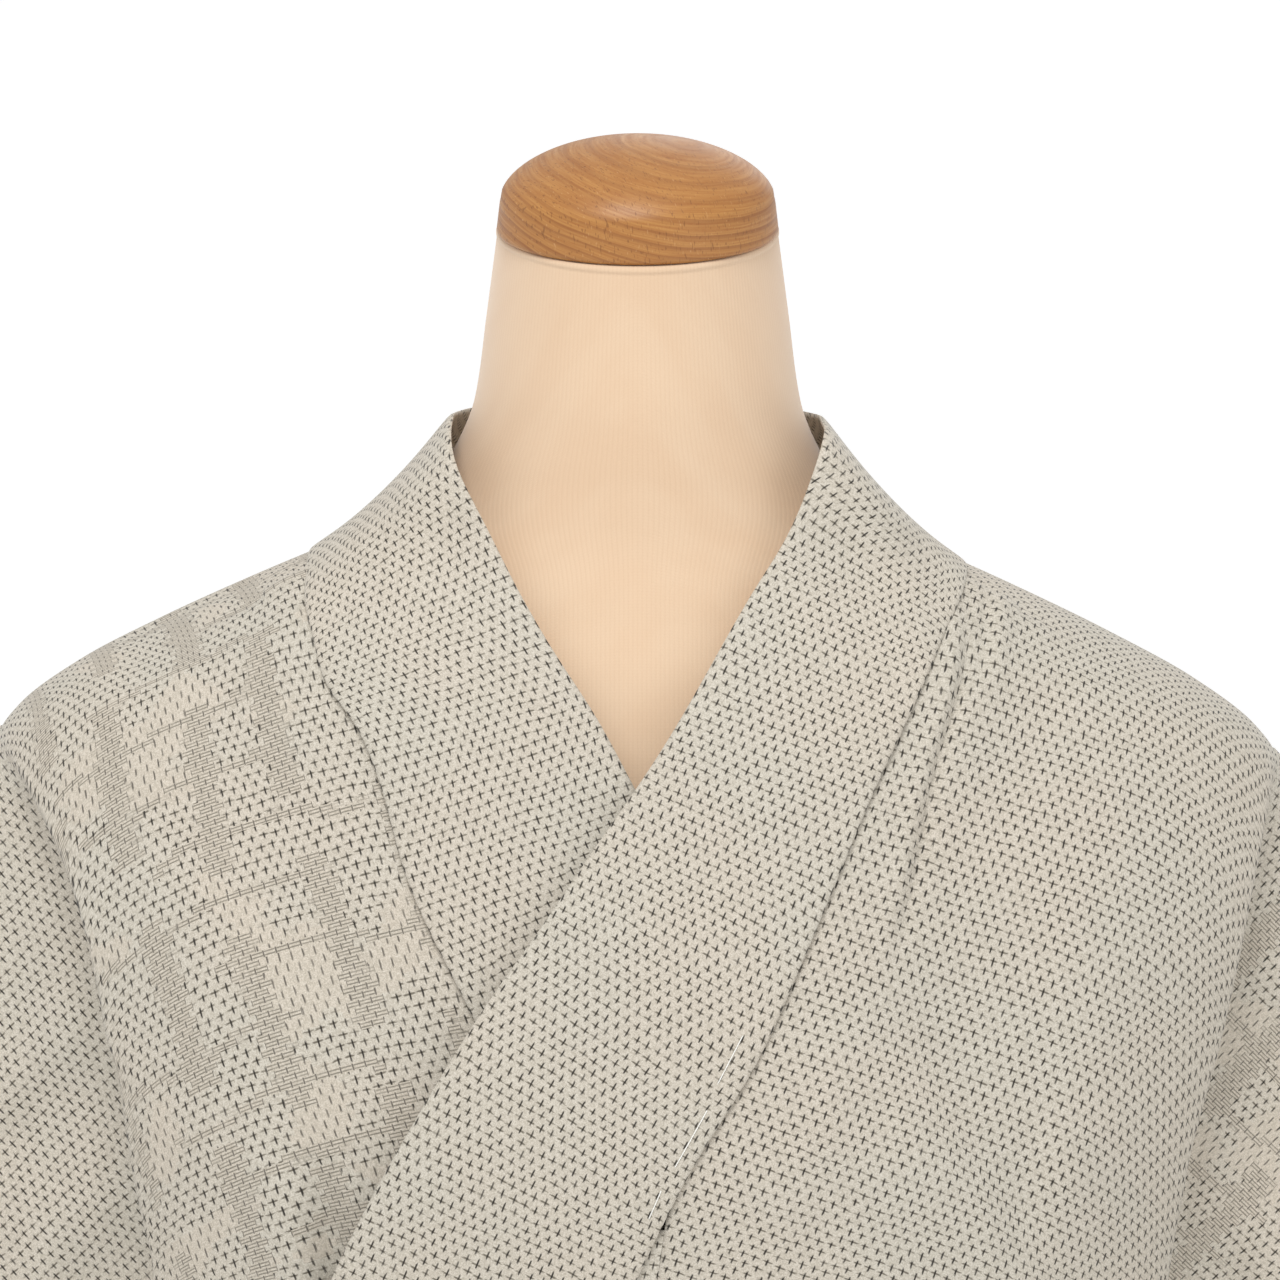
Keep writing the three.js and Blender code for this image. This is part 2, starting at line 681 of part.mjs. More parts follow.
// The sleeve as a flat tube: its loops run down the front wall and up the back wall
function sleeveGrid(side) {
  const grid = [];
  for (let i = 0; i <= sleeveColumns; i++) {
    const along = i / sleeveColumns;
    const loop = [];
    const push = (down, facing) => {
      const { x, z, middle } = sleevePlace(along, down);
      const gap = facing === 0 ? 0 : facing * sleeveGapAt(along, down);
      loop.push(new THREE.Vector3(side * x, middle + gap, z));
    };
    push(0, 0);
    for (const down of sleeveDown) push(down, -1);
    push(1, 0);
    for (const down of [...sleeveDown].reverse()) push(down, 1);
    grid.push(loop);
  }
  return grid;
}

// The whole figure's shoulders dip a little to one side
function tilt(point) {
  const rise = smoothStep(tiltFoot, tiltFull, point.z);
  const fade = 1 - smoothStep(tiltFadeStart, tiltFadeEnd, point.z);
  return new THREE.Vector3(point.x, point.y, point.z - shoulderTilt * point.x * rise * fade);
}

// A wall around a grid of middle points, closed at its rims; loops closes each row on itself
function wallGeometry(levelGrid, thickness, loops = false) {
  const grid = levelGrid.map((row) => row.map(tilt));
  const rows = grid.length;
  const columns = grid[0].length;
  const columnAt = (i) => (loops ? (i + columns) % columns : Math.min(Math.max(i, 0), columns - 1));
  const at = (j, i) => grid[Math.min(Math.max(j, 0), rows - 1)][columnAt(i)];
  const positions = [];
  for (const facing of [1, -1]) {
    for (let j = 0; j < rows; j++) {
      for (let i = 0; i < columns; i++) {
        const acrossRow = at(j, i + 1).clone().sub(at(j, i - 1));
        const alongColumn = at(j + 1, i).clone().sub(at(j - 1, i));
        const normal = acrossRow.cross(alongColumn).normalize();
        const point = at(j, i).clone().addScaledVector(normal, facing * thickness / 2);
        positions.push(point.x, point.y, point.z);
      }
    }
  }
  const index = [];
  const far = rows * columns;
  const quad = (a, b, c, d) => index.push(a, b, c, a, c, d);
  const lastColumn = loops ? columns : columns - 1;
  for (let j = 0; j < rows - 1; j++) {
    for (let i = 0; i < lastColumn; i++) {
      const next = (i + 1) % columns;
      const a = j * columns + i;
      const b = j * columns + next;
      const c = (j + 1) * columns + next;
      const d = (j + 1) * columns + i;
      quad(a, b, c, d);
      quad(far + a, far + d, far + c, far + b);
    }
    if (!loops) {
      const start = j * columns;
      const end = start + columns - 1;
      quad(start, start + columns, far + start + columns, far + start);
      quad(end, far + end, far + end + columns, end + columns);
    }
  }
  for (let i = 0; i < lastColumn; i++) {
    const next = (i + 1) % columns;
    const foot = (rows - 1) * columns;
    quad(i, far + i, far + next, next);
    quad(foot + i, foot + next, far + foot + next, far + foot + i);
  }
  return closedGeometry(positions, index);
}

// A closed body from stacked rings of equal count, with a flat face at each end
function ringGeometry(rings) {
  const count = rings[0].length;
  const positions = [];
  for (const point of rings.flat().map(tilt)) {
    positions.push(point.x, point.y, point.z);
  }
  const index = [];
  for (let j = 0; j < rings.length - 1; j++) {
    for (let i = 0; i < count; i++) {
      const next = (i + 1) % count;
      const a = j * count + i;
      const b = j * count + next;
      index.push(a, b, b + count, a, b + count, a + count);
    }
  }
  const top = (rings.length - 1) * count;
  for (let i = 1; i < count - 1; i++) {
    index.push(0, i + 1, i);
    index.push(top, top + i, top + i + 1);
  }
  return closedGeometry(positions, index);
}

// Turns the faces outwards, where the signed volume says that they point in
function closedGeometry(positions, index) {
  let volume = 0;
  const corner = (i) => new THREE.Vector3(positions[3 * i], positions[3 * i + 1], positions[3 * i + 2]);
  for (let i = 0; i < index.length; i += 3) {
    volume += corner(index[i]).dot(corner(index[i + 1]).cross(corner(index[i + 2])));
  }
  if (volume < 0) index.reverse();
  const geometry = new THREE.BufferGeometry();
  geometry.setAttribute('position', new THREE.Float32BufferAttribute(positions, 3));
  geometry.setIndex(index);
  geometry.computeVertexNormals();
  return geometry;
}

// Torso and neck of the form in one piece
function formGeometry() {
  const ringAt = (section) => {
    const ring = [];
    const lean = smoothStep(neckLeanStart, neckTop, section.z) * Math.tan(neckLean);
    for (let i = 0; i < formColumns; i++) {
      const { x, y } = pointOnOutline(section, 2 * Math.PI * i / formColumns);
      ring.push(new THREE.Vector3(x, y, section.z + (y - neckTopY) * lean));
    }
    return ring;
  };
  return ringGeometry([...formSections, ...[...neckSections].reverse()].map(ringAt));
}

// Turned wood cap: a short band, then a low dome
function capGeometry() {
  const profile = [
    new THREE.Vector2(0, 0),
    new THREE.Vector2(capRadius - capEdge, 0),
    new THREE.Vector2(capRadius, capEdge),
    new THREE.Vector2(capRadius + capBulge, capBandHeight / 2),
    new THREE.Vector2(capRadius, capBandHeight - 2 * capEdge),
  ];
  for (let i = 0; i < capDomeRows; i++) {
    const angle = Math.PI / 2 * i / capDomeRows;
    const radius = (capRadius - capShoulder) * Math.cos(angle);
    profile.push(new THREE.Vector2(radius, capBandHeight + capDomeHeight * Math.sin(angle)));
  }
  profile.push(new THREE.Vector2(0, capBandHeight + capDomeHeight));
  return new THREE.LatheGeometry(profile, capColumns).rotateX(Math.PI / 2);
}

function discGeometry(radius, height, edge) {
  const profile = [
    new THREE.Vector2(0, 0),
    new THREE.Vector2(radius, 0),
    new THREE.Vector2(radius, height - edge),
    new THREE.Vector2(radius - edge, height),
    new THREE.Vector2(0, height),
  ];
  return new THREE.LatheGeometry(profile, discColumns).rotateX(Math.PI / 2);
}

const silk = new THREE.MeshStandardMaterial({ color: silkColour, roughness: 0.75, side: THREE.DoubleSide });
const knit = new THREE.MeshStandardMaterial({ color: knitColour, roughness: 0.9 });
const wood = new THREE.MeshStandardMaterial({ color: woodColour, roughness: 0.45 });
const steel = new THREE.MeshStandardMaterial({ color: steelColour, roughness: 0.35, metalness: 0.9 });

const kimono = new THREE.Group();

function addPiece(name, geometry, material) {
  const mesh = new THREE.Mesh(geometry, material);
  mesh.name = name;
  kimono.add(mesh);
  return mesh;
}

addPiece('body_left', wallGeometry(bodyPanelGrid(1, 'over'), clothThickness), silk);
addPiece('body_right', wallGeometry(bodyPanelGrid(-1, 'under'), clothThickness), silk);
addPiece('overlap_left', wallGeometry(overlapPanelGrid(1, 'over'), clothThickness), silk);
addPiece('overlap_right', wallGeometry(overlapPanelGrid(-1, 'under'), clothThickness), silk);
addPiece('collar', wallGeometry(collarGrid(), collarThickness), silk);
addPiece('sleeve_left', wallGeometry(sleeveGrid(1), clothThickness, true), silk);
addPiece('sleeve_right', wallGeometry(sleeveGrid(-1), clothThickness, true), silk);
addPiece('form_body', formGeometry(), knit);

const cap = addPiece('form_cap', capGeometry(), wood);
cap.rotation.x = neckLean;
cap.position.set(0, neckTopY - seatGap * Math.sin(neckLean), neckTop + seatGap * Math.cos(neckLean));

const poleLength = torsoFoot - baseThickness - 2 * seatGap;
const pole = addPiece('stand_pole', discGeometry(poleRadius, poleLength, poleEdge), steel);
pole.position.z = baseThickness + seatGap;
addPiece('stand_base', discGeometry(baseRadius, baseThickness, baseEdge), steel);

export default kimono;
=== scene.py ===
import math

import bpy
import numpy as np
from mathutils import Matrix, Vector


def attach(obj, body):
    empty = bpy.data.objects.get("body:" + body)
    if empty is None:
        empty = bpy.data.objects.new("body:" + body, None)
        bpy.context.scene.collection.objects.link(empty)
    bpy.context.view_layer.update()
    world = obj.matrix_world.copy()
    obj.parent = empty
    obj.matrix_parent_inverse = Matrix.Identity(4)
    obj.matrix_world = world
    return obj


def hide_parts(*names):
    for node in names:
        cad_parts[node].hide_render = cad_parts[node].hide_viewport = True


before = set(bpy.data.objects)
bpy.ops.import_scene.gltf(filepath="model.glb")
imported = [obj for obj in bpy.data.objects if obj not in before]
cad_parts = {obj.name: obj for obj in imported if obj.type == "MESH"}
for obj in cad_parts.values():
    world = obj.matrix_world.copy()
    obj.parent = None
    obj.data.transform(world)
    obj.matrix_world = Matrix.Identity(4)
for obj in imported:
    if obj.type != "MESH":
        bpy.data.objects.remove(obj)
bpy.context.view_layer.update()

mm = 0.001
perMetre = 1000
scene = bpy.context.scene
print("kimono: frame loaded")


# Small tools

def mix(a, b, share):
    return a + (b - a) * share


def smoothStep(low, high, value):
    share = np.clip((value - low) / (high - low), 0, 1)
    return share * share * (3 - 2 * share)


def rowsToColumns(names, rows):
    values = np.array(rows, float)
    return {name: values[:, i] for i, name in enumerate(names.split())}


def valueAtHeight(table, name, z):
    # straight lines between the rows of a table that runs from the top down
    return np.interp(-z, -table["z"], table[name])


def monotoneCurve(keys, values):
    # a smooth line through the rows of a table that never overshoots them
    order = np.argsort(keys)
    x = np.array(keys, float)[order]
    y = np.array(values, float)[order]
    step = np.diff(x)
    slope = np.diff(y) / step
    tangent = np.empty(len(x))
    tangent[0] = slope[0]
    tangent[-1] = slope[-1]
    for i in range(1, len(x) - 1):
        product = slope[i - 1] * slope[i]
        tangent[i] = 2 * product / (slope[i - 1] + slope[i]) if product > 0 else 0

    def valueAt(place):
        place = np.clip(place, x[0], x[-1])
        i = np.clip(np.searchsorted(x, place, side="right") - 1, 0, len(x) - 2)
        t = (place - x[i]) / step[i]
        fromLeft = (2 * t ** 3 - 3 * t ** 2 + 1) * y[i] + (t ** 3 - 2 * t ** 2 + t) * step[i] * tangent[i]
        fromRight = (3 * t ** 2 - 2 * t ** 3) * y[i + 1] + (t ** 3 - t ** 2) * step[i] * tangent[i + 1]
        return fromLeft + fromRight

    return valueAt


def curvesThrough(table, key="z"):
    return {name: monotoneCurve(table[key], values) for name, values in table.items() if name != key}


def naturalSpline(keys, values):
    # a natural cubic through points; values may hold several columns
    x = np.array(keys, float)
    y = np.array(values, float)
    count = len(x)
    step = np.diff(x)
    matrix = np.eye(count)
    right = np.zeros((count,) + y.shape[1:])
    for i in range(1, count - 1):
        matrix[i, i - 1:i + 2] = step[i - 1], 2 * (step[i - 1] + step[i]), step[i]
        right[i] = 6 * ((y[i + 1] - y[i]) / step[i] - (y[i] - y[i - 1]) / step[i - 1])
    bend = np.linalg.solve(matrix, right.reshape(count, -1)).reshape(right.shape)

    def valueAt(place):
        i = np.clip(np.searchsorted(x, place, side="right") - 1, 0, count - 2)
        shape = (-1,) + (1,) * (y.ndim - 1)
        h = step[i].reshape(shape)
        a = ((x[i + 1] - place).reshape(shape)) / h
        b = 1 - a
        curve = ((a ** 3 - a) * bend[i] + (b ** 3 - b) * bend[i + 1]) * h ** 2 / 6
        return a * y[i] + b * y[i + 1] + curve

    return valueAt


# The garment's sizes, in millimetres; the rows follow its cut and drape

cut = {
    "hemHeight": 24,
    "sideSeamTop": 1005,
    "sleeveSeamFoot": 1145,
    "archFoot": 1400,
    "archTop": 1499,
    "collarFoot": 850,
    "overlapTop": 1296,
    "dropFull": 1230,
    "biasFoot": 1040,
    "seamGap": 0.06,
    "sideSeamShare": 0.2087,   # shares of the way round, from the centre front
    "frontEdgeShare": 0.1767,
    "innerLift": 1,            # how far each layer stands off the outline
    "lapLift": 5.4,
    "coverLift": 8.8,
    "neckSideX": 104,
    "backNeckDepth": 84,
    "shoulderEndX": 213,
    "dropShoulder": 40,
    "sleeveSeamX": 264,
    "sleeveSeamTop": 1355,
    "sleeveSeamGap": 1.7,
    "sleeveHalfGap": 14,
    "clothThickness": 0.9,
}
lap = {
    "fadeStart": 10,           # how far past the collar's lower side the over front comes down
    "fadeEnd": 34,
    "leastFade": 12,
    "coverStart": 30,          # where it climbs onto the collar's lower side, before its seam
    "coverEnd": 8,
    "coverFoot": 815,
    "coverFull": 842,
    "footFade": 12,
}
tilt = {
    "slope": 0.0175,           # the shoulders dip a little to one side
    "foot": 1150,
    "full": 1380,
    "fadeStart": 1500,
    "fadeEnd": 1590,
}

bodyTable = rowsToColumns("z width front back power", [
    (1500, 92, 62, 80, 2.0),
    (1495, 104, 64, 82, 2.0),
    (1485, 127, 68, 88, 2.0),
    (1470, 159, 75, 95, 2.0),
    (1455, 187, 82, 101, 2.05),
    (1440, 207, 88, 105, 2.1),
    (1430, 214, 92, 108, 2.1),
    (1415, 217, 97, 111, 2.15),
    (1400, 218, 103, 114, 2.2),
    (1350, 206, 117, 120, 2.35),
    (1300, 193, 125, 120, 2.4),
    (1253, 184, 123, 115, 2.35),
    (1200, 176, 117, 109, 2.3),
    (1145, 168, 110, 104, 2.25),
    (1040, 160, 103, 100, 2.2),
    (980, 164, 108, 108, 2.15),
    (900, 174, 118, 122, 2.1),
    (820, 183, 128, 132, 2.1),
    (700, 187, 134, 136, 2.1),
    (20, 190, 138, 140, 2.1),
])
bodyCurves = curvesThrough(bodyTable)

creaseTable = rowsToColumns("z over under", [
    (1440, 209, 204),
    (1400, 203, 184),
    (1350, 193, 174),
    (1300, 180, 164),
    (1253, 173, 158),
    (1145, 160, 156),
    (1080, 157, 155),
    (1005, 158, 158),
])
backCreaseShift = 6
armholeTable = rowsToColumns("z x", [
    (1355, 264),
    (1300, 260),
    (1250, 254),
    (1200, 247),
    (1145, 240),
    (1080, 214),
    (1030, 188),
    (1005, 176),
])
armholeGapTable = rowsToColumns("z gap", [(1355, 0), (1345, 9), (1315, 14), (1145, 14), (1005, 40)])
creaseSteps = rowsToColumns("along inward back", [
    (0, 0, 0),
    (0.05, 8, 10),
    (0.1, 5, 18),
    (0.24, 0, 17),
    (0.5, 0, 8),
    (0.76, 0, 3),
    (1, 0, 0),
])
neckEdgeTable = rowsToColumns("y over under", [
    (0, 104, 105),
    (25, 102, 104),
    (46, 99, 102),
    (58, 94, 98),
    (72, 87, 94),
    (86, 77, 80),
    (103, 61, 67),
    (120, 44, 56),
])
overlapSeamTable = rowsToColumns("z over under", [
    (1400, 56, 67),
    (1381, 48, 57),
    (1363, 39, 48),
    (1342, 29, 38),
    (1319, 15, 26),
    (1297, 9, 14),
    (1275, 6, 6),
    (1200, -8, -8),
    (1105, -20, -20),
    (1000, -26, -26),
    (850, -30, -30),
    (20, -32, -32),
])
overlapEdgeTable = rowsToColumns("z x", [
    (1296, 4),
    (1262, -9),
    (1205, -39),
    (1155, -53),
    (1105, -67),
    (1055, -79),
    (1000, -90),
    (950, -98),
    (900, -125),
    (860, -164),
])
lowerSideReach = rowsToColumns("z seam edge", [
    (1420, -78, 6),
    (1342, -42, 66),
    (1286, -10, 101),
    (1205, 30, 121),
    (1105, 58, 139),
    (1000, 81, 150),
    (850, 106, 168),
])
shoulderFold = rowsToColumns("x z", [(213, 1434), (225, 1421), (238, 1403), (250, 1382), (264, 1355)])
skirtFolds = rowsToColumns("share reach depth top", [
    (-0.43, 0.035, 9, 1000),
    (-0.33, 0.03, -6, 900),
    (-0.25, 0.035, 8, 1050),
    (-0.13, 0.04, -5, 850),
    (-0.02, 0.05, 6, 800),
    (0.12, 0.04, -5, 1000),
    (0.22, 0.035, 8, 950),
    (0.31, 0.03, -6, 1000),
    (0.4, 0.035, 8, 900),
])


# The outline that the cloth lies on

def outlineAt(z, lift):
    level = z - lift * smoothStep(cut["archFoot"], cut["archFoot"] + 50, z)
    width, front, back = (bodyCurves[name](level) + lift for name in ("width", "front", "back"))
    return width, front, back, bodyCurves["power"](level)


def roundedPoint(width, front, back, power, angle):
    # a point of a squared-off oval whose front and back have their own depths
    sine, cosine = np.sin(angle), np.cos(angle)
    depth = np.where(cosine > 0, front, back)
    x = width * np.sign(sine) * np.abs(sine) ** (2 / power)
    y = -depth * np.sign(cosine) * np.abs(cosine) ** (2 / power)
    return x, y


def outlinePoint(z, angle, lift):
    return roundedPoint(*outlineAt(z, lift), angle)


arcLevelsPerMm = 4
arcSteps = 361
arcCache = {}


def arcTable(z):
    key = round(float(z) * arcLevelsPerMm)
    if key not in arcCache:
        angles = np.linspace(0, math.pi, arcSteps)
        x, y = outlinePoint(key / arcLevelsPerMm, angles, 0)
        lengths = np.concatenate([[0], np.cumsum(np.hypot(np.diff(x), np.diff(y)))])
        arcCache[key] = angles, lengths
    return arcCache[key]


def perimeterAt(z):
    return 2 * arcTable(z)[1][-1]


def angleOfShare(share, z):
    angles, lengths = arcTable(z)
    return np.sign(share) * np.interp(np.abs(share) * 2 * lengths[-1], lengths, angles)


def shareOfX(x, z, onBack=False):
    angles, lengths = arcTable(z)
    width, _, _, power = outlineAt(z, 0)
    angle = np.arcsin(np.clip(np.abs(x) / width, 0, 1) ** (power / 2))
    angle = math.pi - angle if onBack else angle
    return np.where(np.asarray(x) < 0, -1, 1) * np.interp(angle, angles, lengths) / lengths[-1] / 2


def skirtFoldAt(share, z):
    depth = 0
    for i in range(len(skirtFolds["share"])):
        distance = (share - skirtFolds["share"][i]) / skirtFolds["reach"][i]
        rise = smoothStep(skirtFolds["top"][i], cut["hemHeight"], z)
        depth = depth + skirtFolds["depth"][i] * np.exp(-distance ** 2) * rise
    return depth


def clothPoint(share, z, lift):
    x, y = outlinePoint(z, angleOfShare(share, z), lift + skirtFoldAt(share, z))
    return np.stack([x, y, np.full_like(x, float(z))], axis=-1)


def heightAbove(x, y):
    # the shoulder's height over a place seen from above, by halving
    low = np.full_like(x, float(cut["archFoot"]))
    high = np.full_like(x, float(cut["archTop"]))
    for _ in range(36):
        middle = (low + high) / 2
        width, front, back, power = outlineAt(middle, 0)
        depth = np.where(y < 0, front, back)
        inside = (np.abs(x) / width) ** power + (np.abs(y) / depth) ** power < 1
        low = np.where(inside, middle, low)
        high = np.where(inside, high, middle)
    return low


def aboveCollarFoot(z):
    return smoothStep(cut["collarFoot"], cut["collarFoot"] + lap["footFade"], z)


def overLift(share, z):
    # how far the over front stands off, where it crosses the layers below it
    perimeter = perimeterAt(z)
    length = share * perimeter
    seam = valueAtHeight(lowerSideReach, "seam", z)
    edge = valueAtHeight(lowerSideReach, "edge", z)
    reach = mix(cut["frontEdgeShare"] * perimeter, edge, aboveCollarFoot(z))
    fadeEnd = min(reach + lap["fadeEnd"], cut["sideSeamShare"] * perimeter - 1)
    fade = 1 - smoothStep(min(reach + lap["fadeStart"], fadeEnd - lap["leastFade"]), fadeEnd, length)
    cover = smoothStep(seam - lap["coverStart"], seam - lap["coverEnd"], length)
    cover = cover * smoothStep(lap["coverFoot"], lap["coverFull"], z)
    inner = cut["innerLift"]
    return inner + fade * mix(cut["lapLift"] - inner, cut["coverLift"] - inner, cover)


# Grids of middle points, a row from the inner edge outwards

stepCurves = curvesThrough(creaseSteps, "along")
creaseCurves = curvesThrough(creaseTable)
armholeX = curvesThrough(armholeTable)["x"]
armholeGap = curvesThrough(armholeGapTable)["gap"]
mainColumns = 98
dropColumns = 34
archRows = 26
dropAlong = np.linspace(0, 1, dropColumns + 1)[1:] ** 1.25


def dropHeight(z):
    foot, top = cut["sleeveSeamFoot"], cut["sleeveSeamTop"] - cut["dropShoulder"]
    if z <= foot:
        return z
    return mix(foot, top, (z - foot) / (cut["archFoot"] - foot))


def bodyRow(z, side, layer, onBack):
    creaseX = creaseCurves[layer](z) - (backCreaseShift if onBack else 0)
    turnShare = abs(float(shareOfX(creaseX, max(z, cut["sideSeamTop"]), onBack)))
    perimeter = perimeterAt(z)
    innerX = float(valueAtHeight(overlapSeamTable, layer, z))
    byX = abs(float(shareOfX(innerX, z)))
    byLength = (innerX + cut["seamGap"] / 2) / perimeter
    frontEdge = mix(byLength, byX, smoothStep(cut["overlapTop"] - 11, cut["overlapTop"] - 1, z))
    innerShare = 0.5 - cut["seamGap"] / 2 / perimeter if onBack else frontEdge
    sideShare = cut["sideSeamShare"] + (1 if onBack else -1) * cut["seamGap"] / 2 / perimeter
    dropShare = smoothStep(cut["sideSeamTop"], cut["dropFull"], z)
    overFront = layer == "over" and not onBack

    def lift(shares):
        return overLift(shares, z) if overFront else 0 * shares + cut["innerLift"]

    shares = mix(innerShare, turnShare, np.linspace(0, 1, mainColumns + 1))
    main = clothPoint(side * shares, z, lift(shares))
    crease = main[-1]
    outer = dropHeight(z)
    gap = float(armholeGap(outer))
    edge = np.array([side * float(armholeX(outer)), gap if onBack else -gap, outer])
    draped = crease + (edge - crease) * dropAlong[:, None]
    draped[:, 0] -= side * stepCurves["inward"](dropAlong)
    draped[:, 1] += (-1 if onBack else 1) * stepCurves["back"](dropAlong)
    shares = mix(turnShare, sideShare, dropAlong)
    plain = clothPoint(side * shares, z, lift(shares))
    return np.concatenate([main, mix(plain, draped, dropShare)])


def archRow(share, foot, side, layer, onBack):
    facing = 1 if onBack else -1
    y = np.abs(foot[:, 1]) * share
    footX = np.abs(foot[:, 0])
    turn = mainColumns
    frontInner = np.interp(y[:turn + 1], neckEdgeTable["y"], neckEdgeTable[layer])
    neckShare = np.minimum(y[:turn + 1] / cut["backNeckDepth"], 1)
    backInner = np.maximum(cut["neckSideX"] * np.sqrt(1 - neckShare ** 2), cut["seamGap"] / 2)
    innerX = backInner if onBack else frontInner
    outerX = mix(cut["shoulderEndX"], footX[turn], share ** 2)
    across = np.linspace(0, 1, turn + 1)
    footAcross = (footX[:turn + 1] - footX[0]) / (footX[turn] - footX[0])
    x = mix(innerX, outerX, mix(across, footAcross, share))
    z = heightAbove(x, facing * y[:turn + 1]) + cut["innerLift"]
    foldX = mix(cut["shoulderEndX"], cut["sleeveSeamX"], dropAlong)
    foldZ = np.interp(foldX, shoulderFold["x"], shoulderFold["z"])
    dropX = mix(foldX, footX[turn + 1:], share ** 2)
    dropZ = foldZ - (foldZ - foot[turn + 1:, 2]) * share ** 2
    return np.stack([side * np.concatenate([x, dropX]), facing * y, np.concatenate([z, dropZ])], axis=-1)


def panelHeights():
    upper = np.linspace(cut["archFoot"], cut["sideSeamTop"], 81)[1:]
    lower = np.linspace(cut["sideSeamTop"], cut["hemHeight"], 71)[1:]
    return np.concatenate([upper, lower])


def bodyPanelGrid(side, layer):
    heights = panelHeights()
    parts = []
    for onBack in (False, True):
        foot = bodyRow(cut["archFoot"], side, layer, onBack)
        ridgeShare = 0 if onBack else 0.04   # the back's row stands for both at the ridge
        shares = np.linspace(ridgeShare, 1, archRows)
        arch = [archRow(share, foot, side, layer, onBack) for share in shares]
        rows = arch + [bodyRow(z, side, layer, onBack) for z in heights]
        parts += rows if onBack else rows[::-1]
    return np.array(parts), len(heights) + archRows


# The largest folds and the small creases; points are x and z seen from the front

frontFace, backFace = -1, 1


def creaseLine(face, width, depth, lip, lipAt, *points):
    # a trough along the points, and a ridge beside it whose middle lies lipAt across
    return {"face": face, "width": width, "depth": depth, "lip": lip, "lipAt": lipAt, "points": points}


creases = {
    "tuck": creaseLine(frontFace, 2, -2.6, 1.9, -4.6, (108.5, 1494), (108.5, 1484), (107.5, 1468),
                       (102.2, 1448), (98.2, 1437), (93.5, 1419), (90.5, 1404), (86, 1384), (83, 1366)),
    "tuckShort": creaseLine(frontFace, 2.6, -1.5, 1.0, 5, (115, 1488), (114.5, 1480), (113, 1468),
                            (110.5, 1455)),
    "shoulderDent": creaseLine(frontFace, 10, -2.6, 1.2, -15, (-116, 1490), (-142, 1476), (-166, 1464),
                               (-174, 1448)),
    "pinch": creaseLine(frontFace, 7, -4.5, 3.2, -13, (-106, 1326), (-102, 1298), (-98, 1276), (-96, 1250),
                        (-98, 1215), (-104, 1170)),
    "pinchRight": creaseLine(frontFace, 8, 2.0, 0, 1, (-78, 1290), (-84, 1262), (-88, 1230)),
    "breastRight": creaseLine(frontFace, 19, 2.6, -1.8, -34, (150, 1395), (143, 1330), (136, 1275),
                              (132, 1200)),
    "faintRight": creaseLine(frontFace, 6, -1.3, 0.8, 11, (131, 1338), (125, 1300), (119, 1262),
                             (116, 1225)),
    "breastLeft": creaseLine(frontFace, 20, 1.8, -1.2, 34, (-130, 1400), (-136, 1350), (-138, 1290)),
    "collarPull": creaseLine(frontFace, 9, 1.2, -0.9, 16, (74, 1372), (64, 1340), (50, 1300), (38, 1262)),
    "dropLeft": creaseLine(frontFace, 9, 3.2, -2.2, 17, (-176, 1352), (-200, 1330), (-228, 1300)),
    "dropLeftLow": creaseLine(frontFace, 11, 3.4, -2.0, 20, (-170, 1300), (-196, 1262), (-216, 1215)),
    "dropRight": creaseLine(frontFace, 9, 2.8, -2.0, 17, (203, 1378), (222, 1348), (238, 1302)),
    "dropRightLow": creaseLine(frontFace, 11, 3.2, -2.0, 20, (186, 1300), (212, 1255), (226, 1205)),
    "backLeft": creaseLine(backFace, 14, 3, -2, -26, (120, 1440), (112, 1370), (100, 1290), (92, 1210)),
    "backRight": creaseLine(backFace, 13, 2.6, -2, 26, (-128, 1430), (-118, 1350), (-108, 1280)),
    "backWaistA": creaseLine(backFace, 10, 4, -3, 18, (60, 1150), (55, 1060), (66, 960), (72, 840)),
    "backWaistB": creaseLine(backFace, 11, 4, -3, -19, (-70, 1170), (-62, 1070), (-72, 950), (-80, 800)),
    "frontWaistA": creaseLine(frontFace, 10, 3, -2, 17, (60, 1160), (66, 1080), (62, 980), (70, 860)),
    "frontWaistB": creaseLine(frontFace, 10, 3.4, -2.4, 17, (118, 1150), (122, 1060), (116, 960),
                              (126, 820)),
}


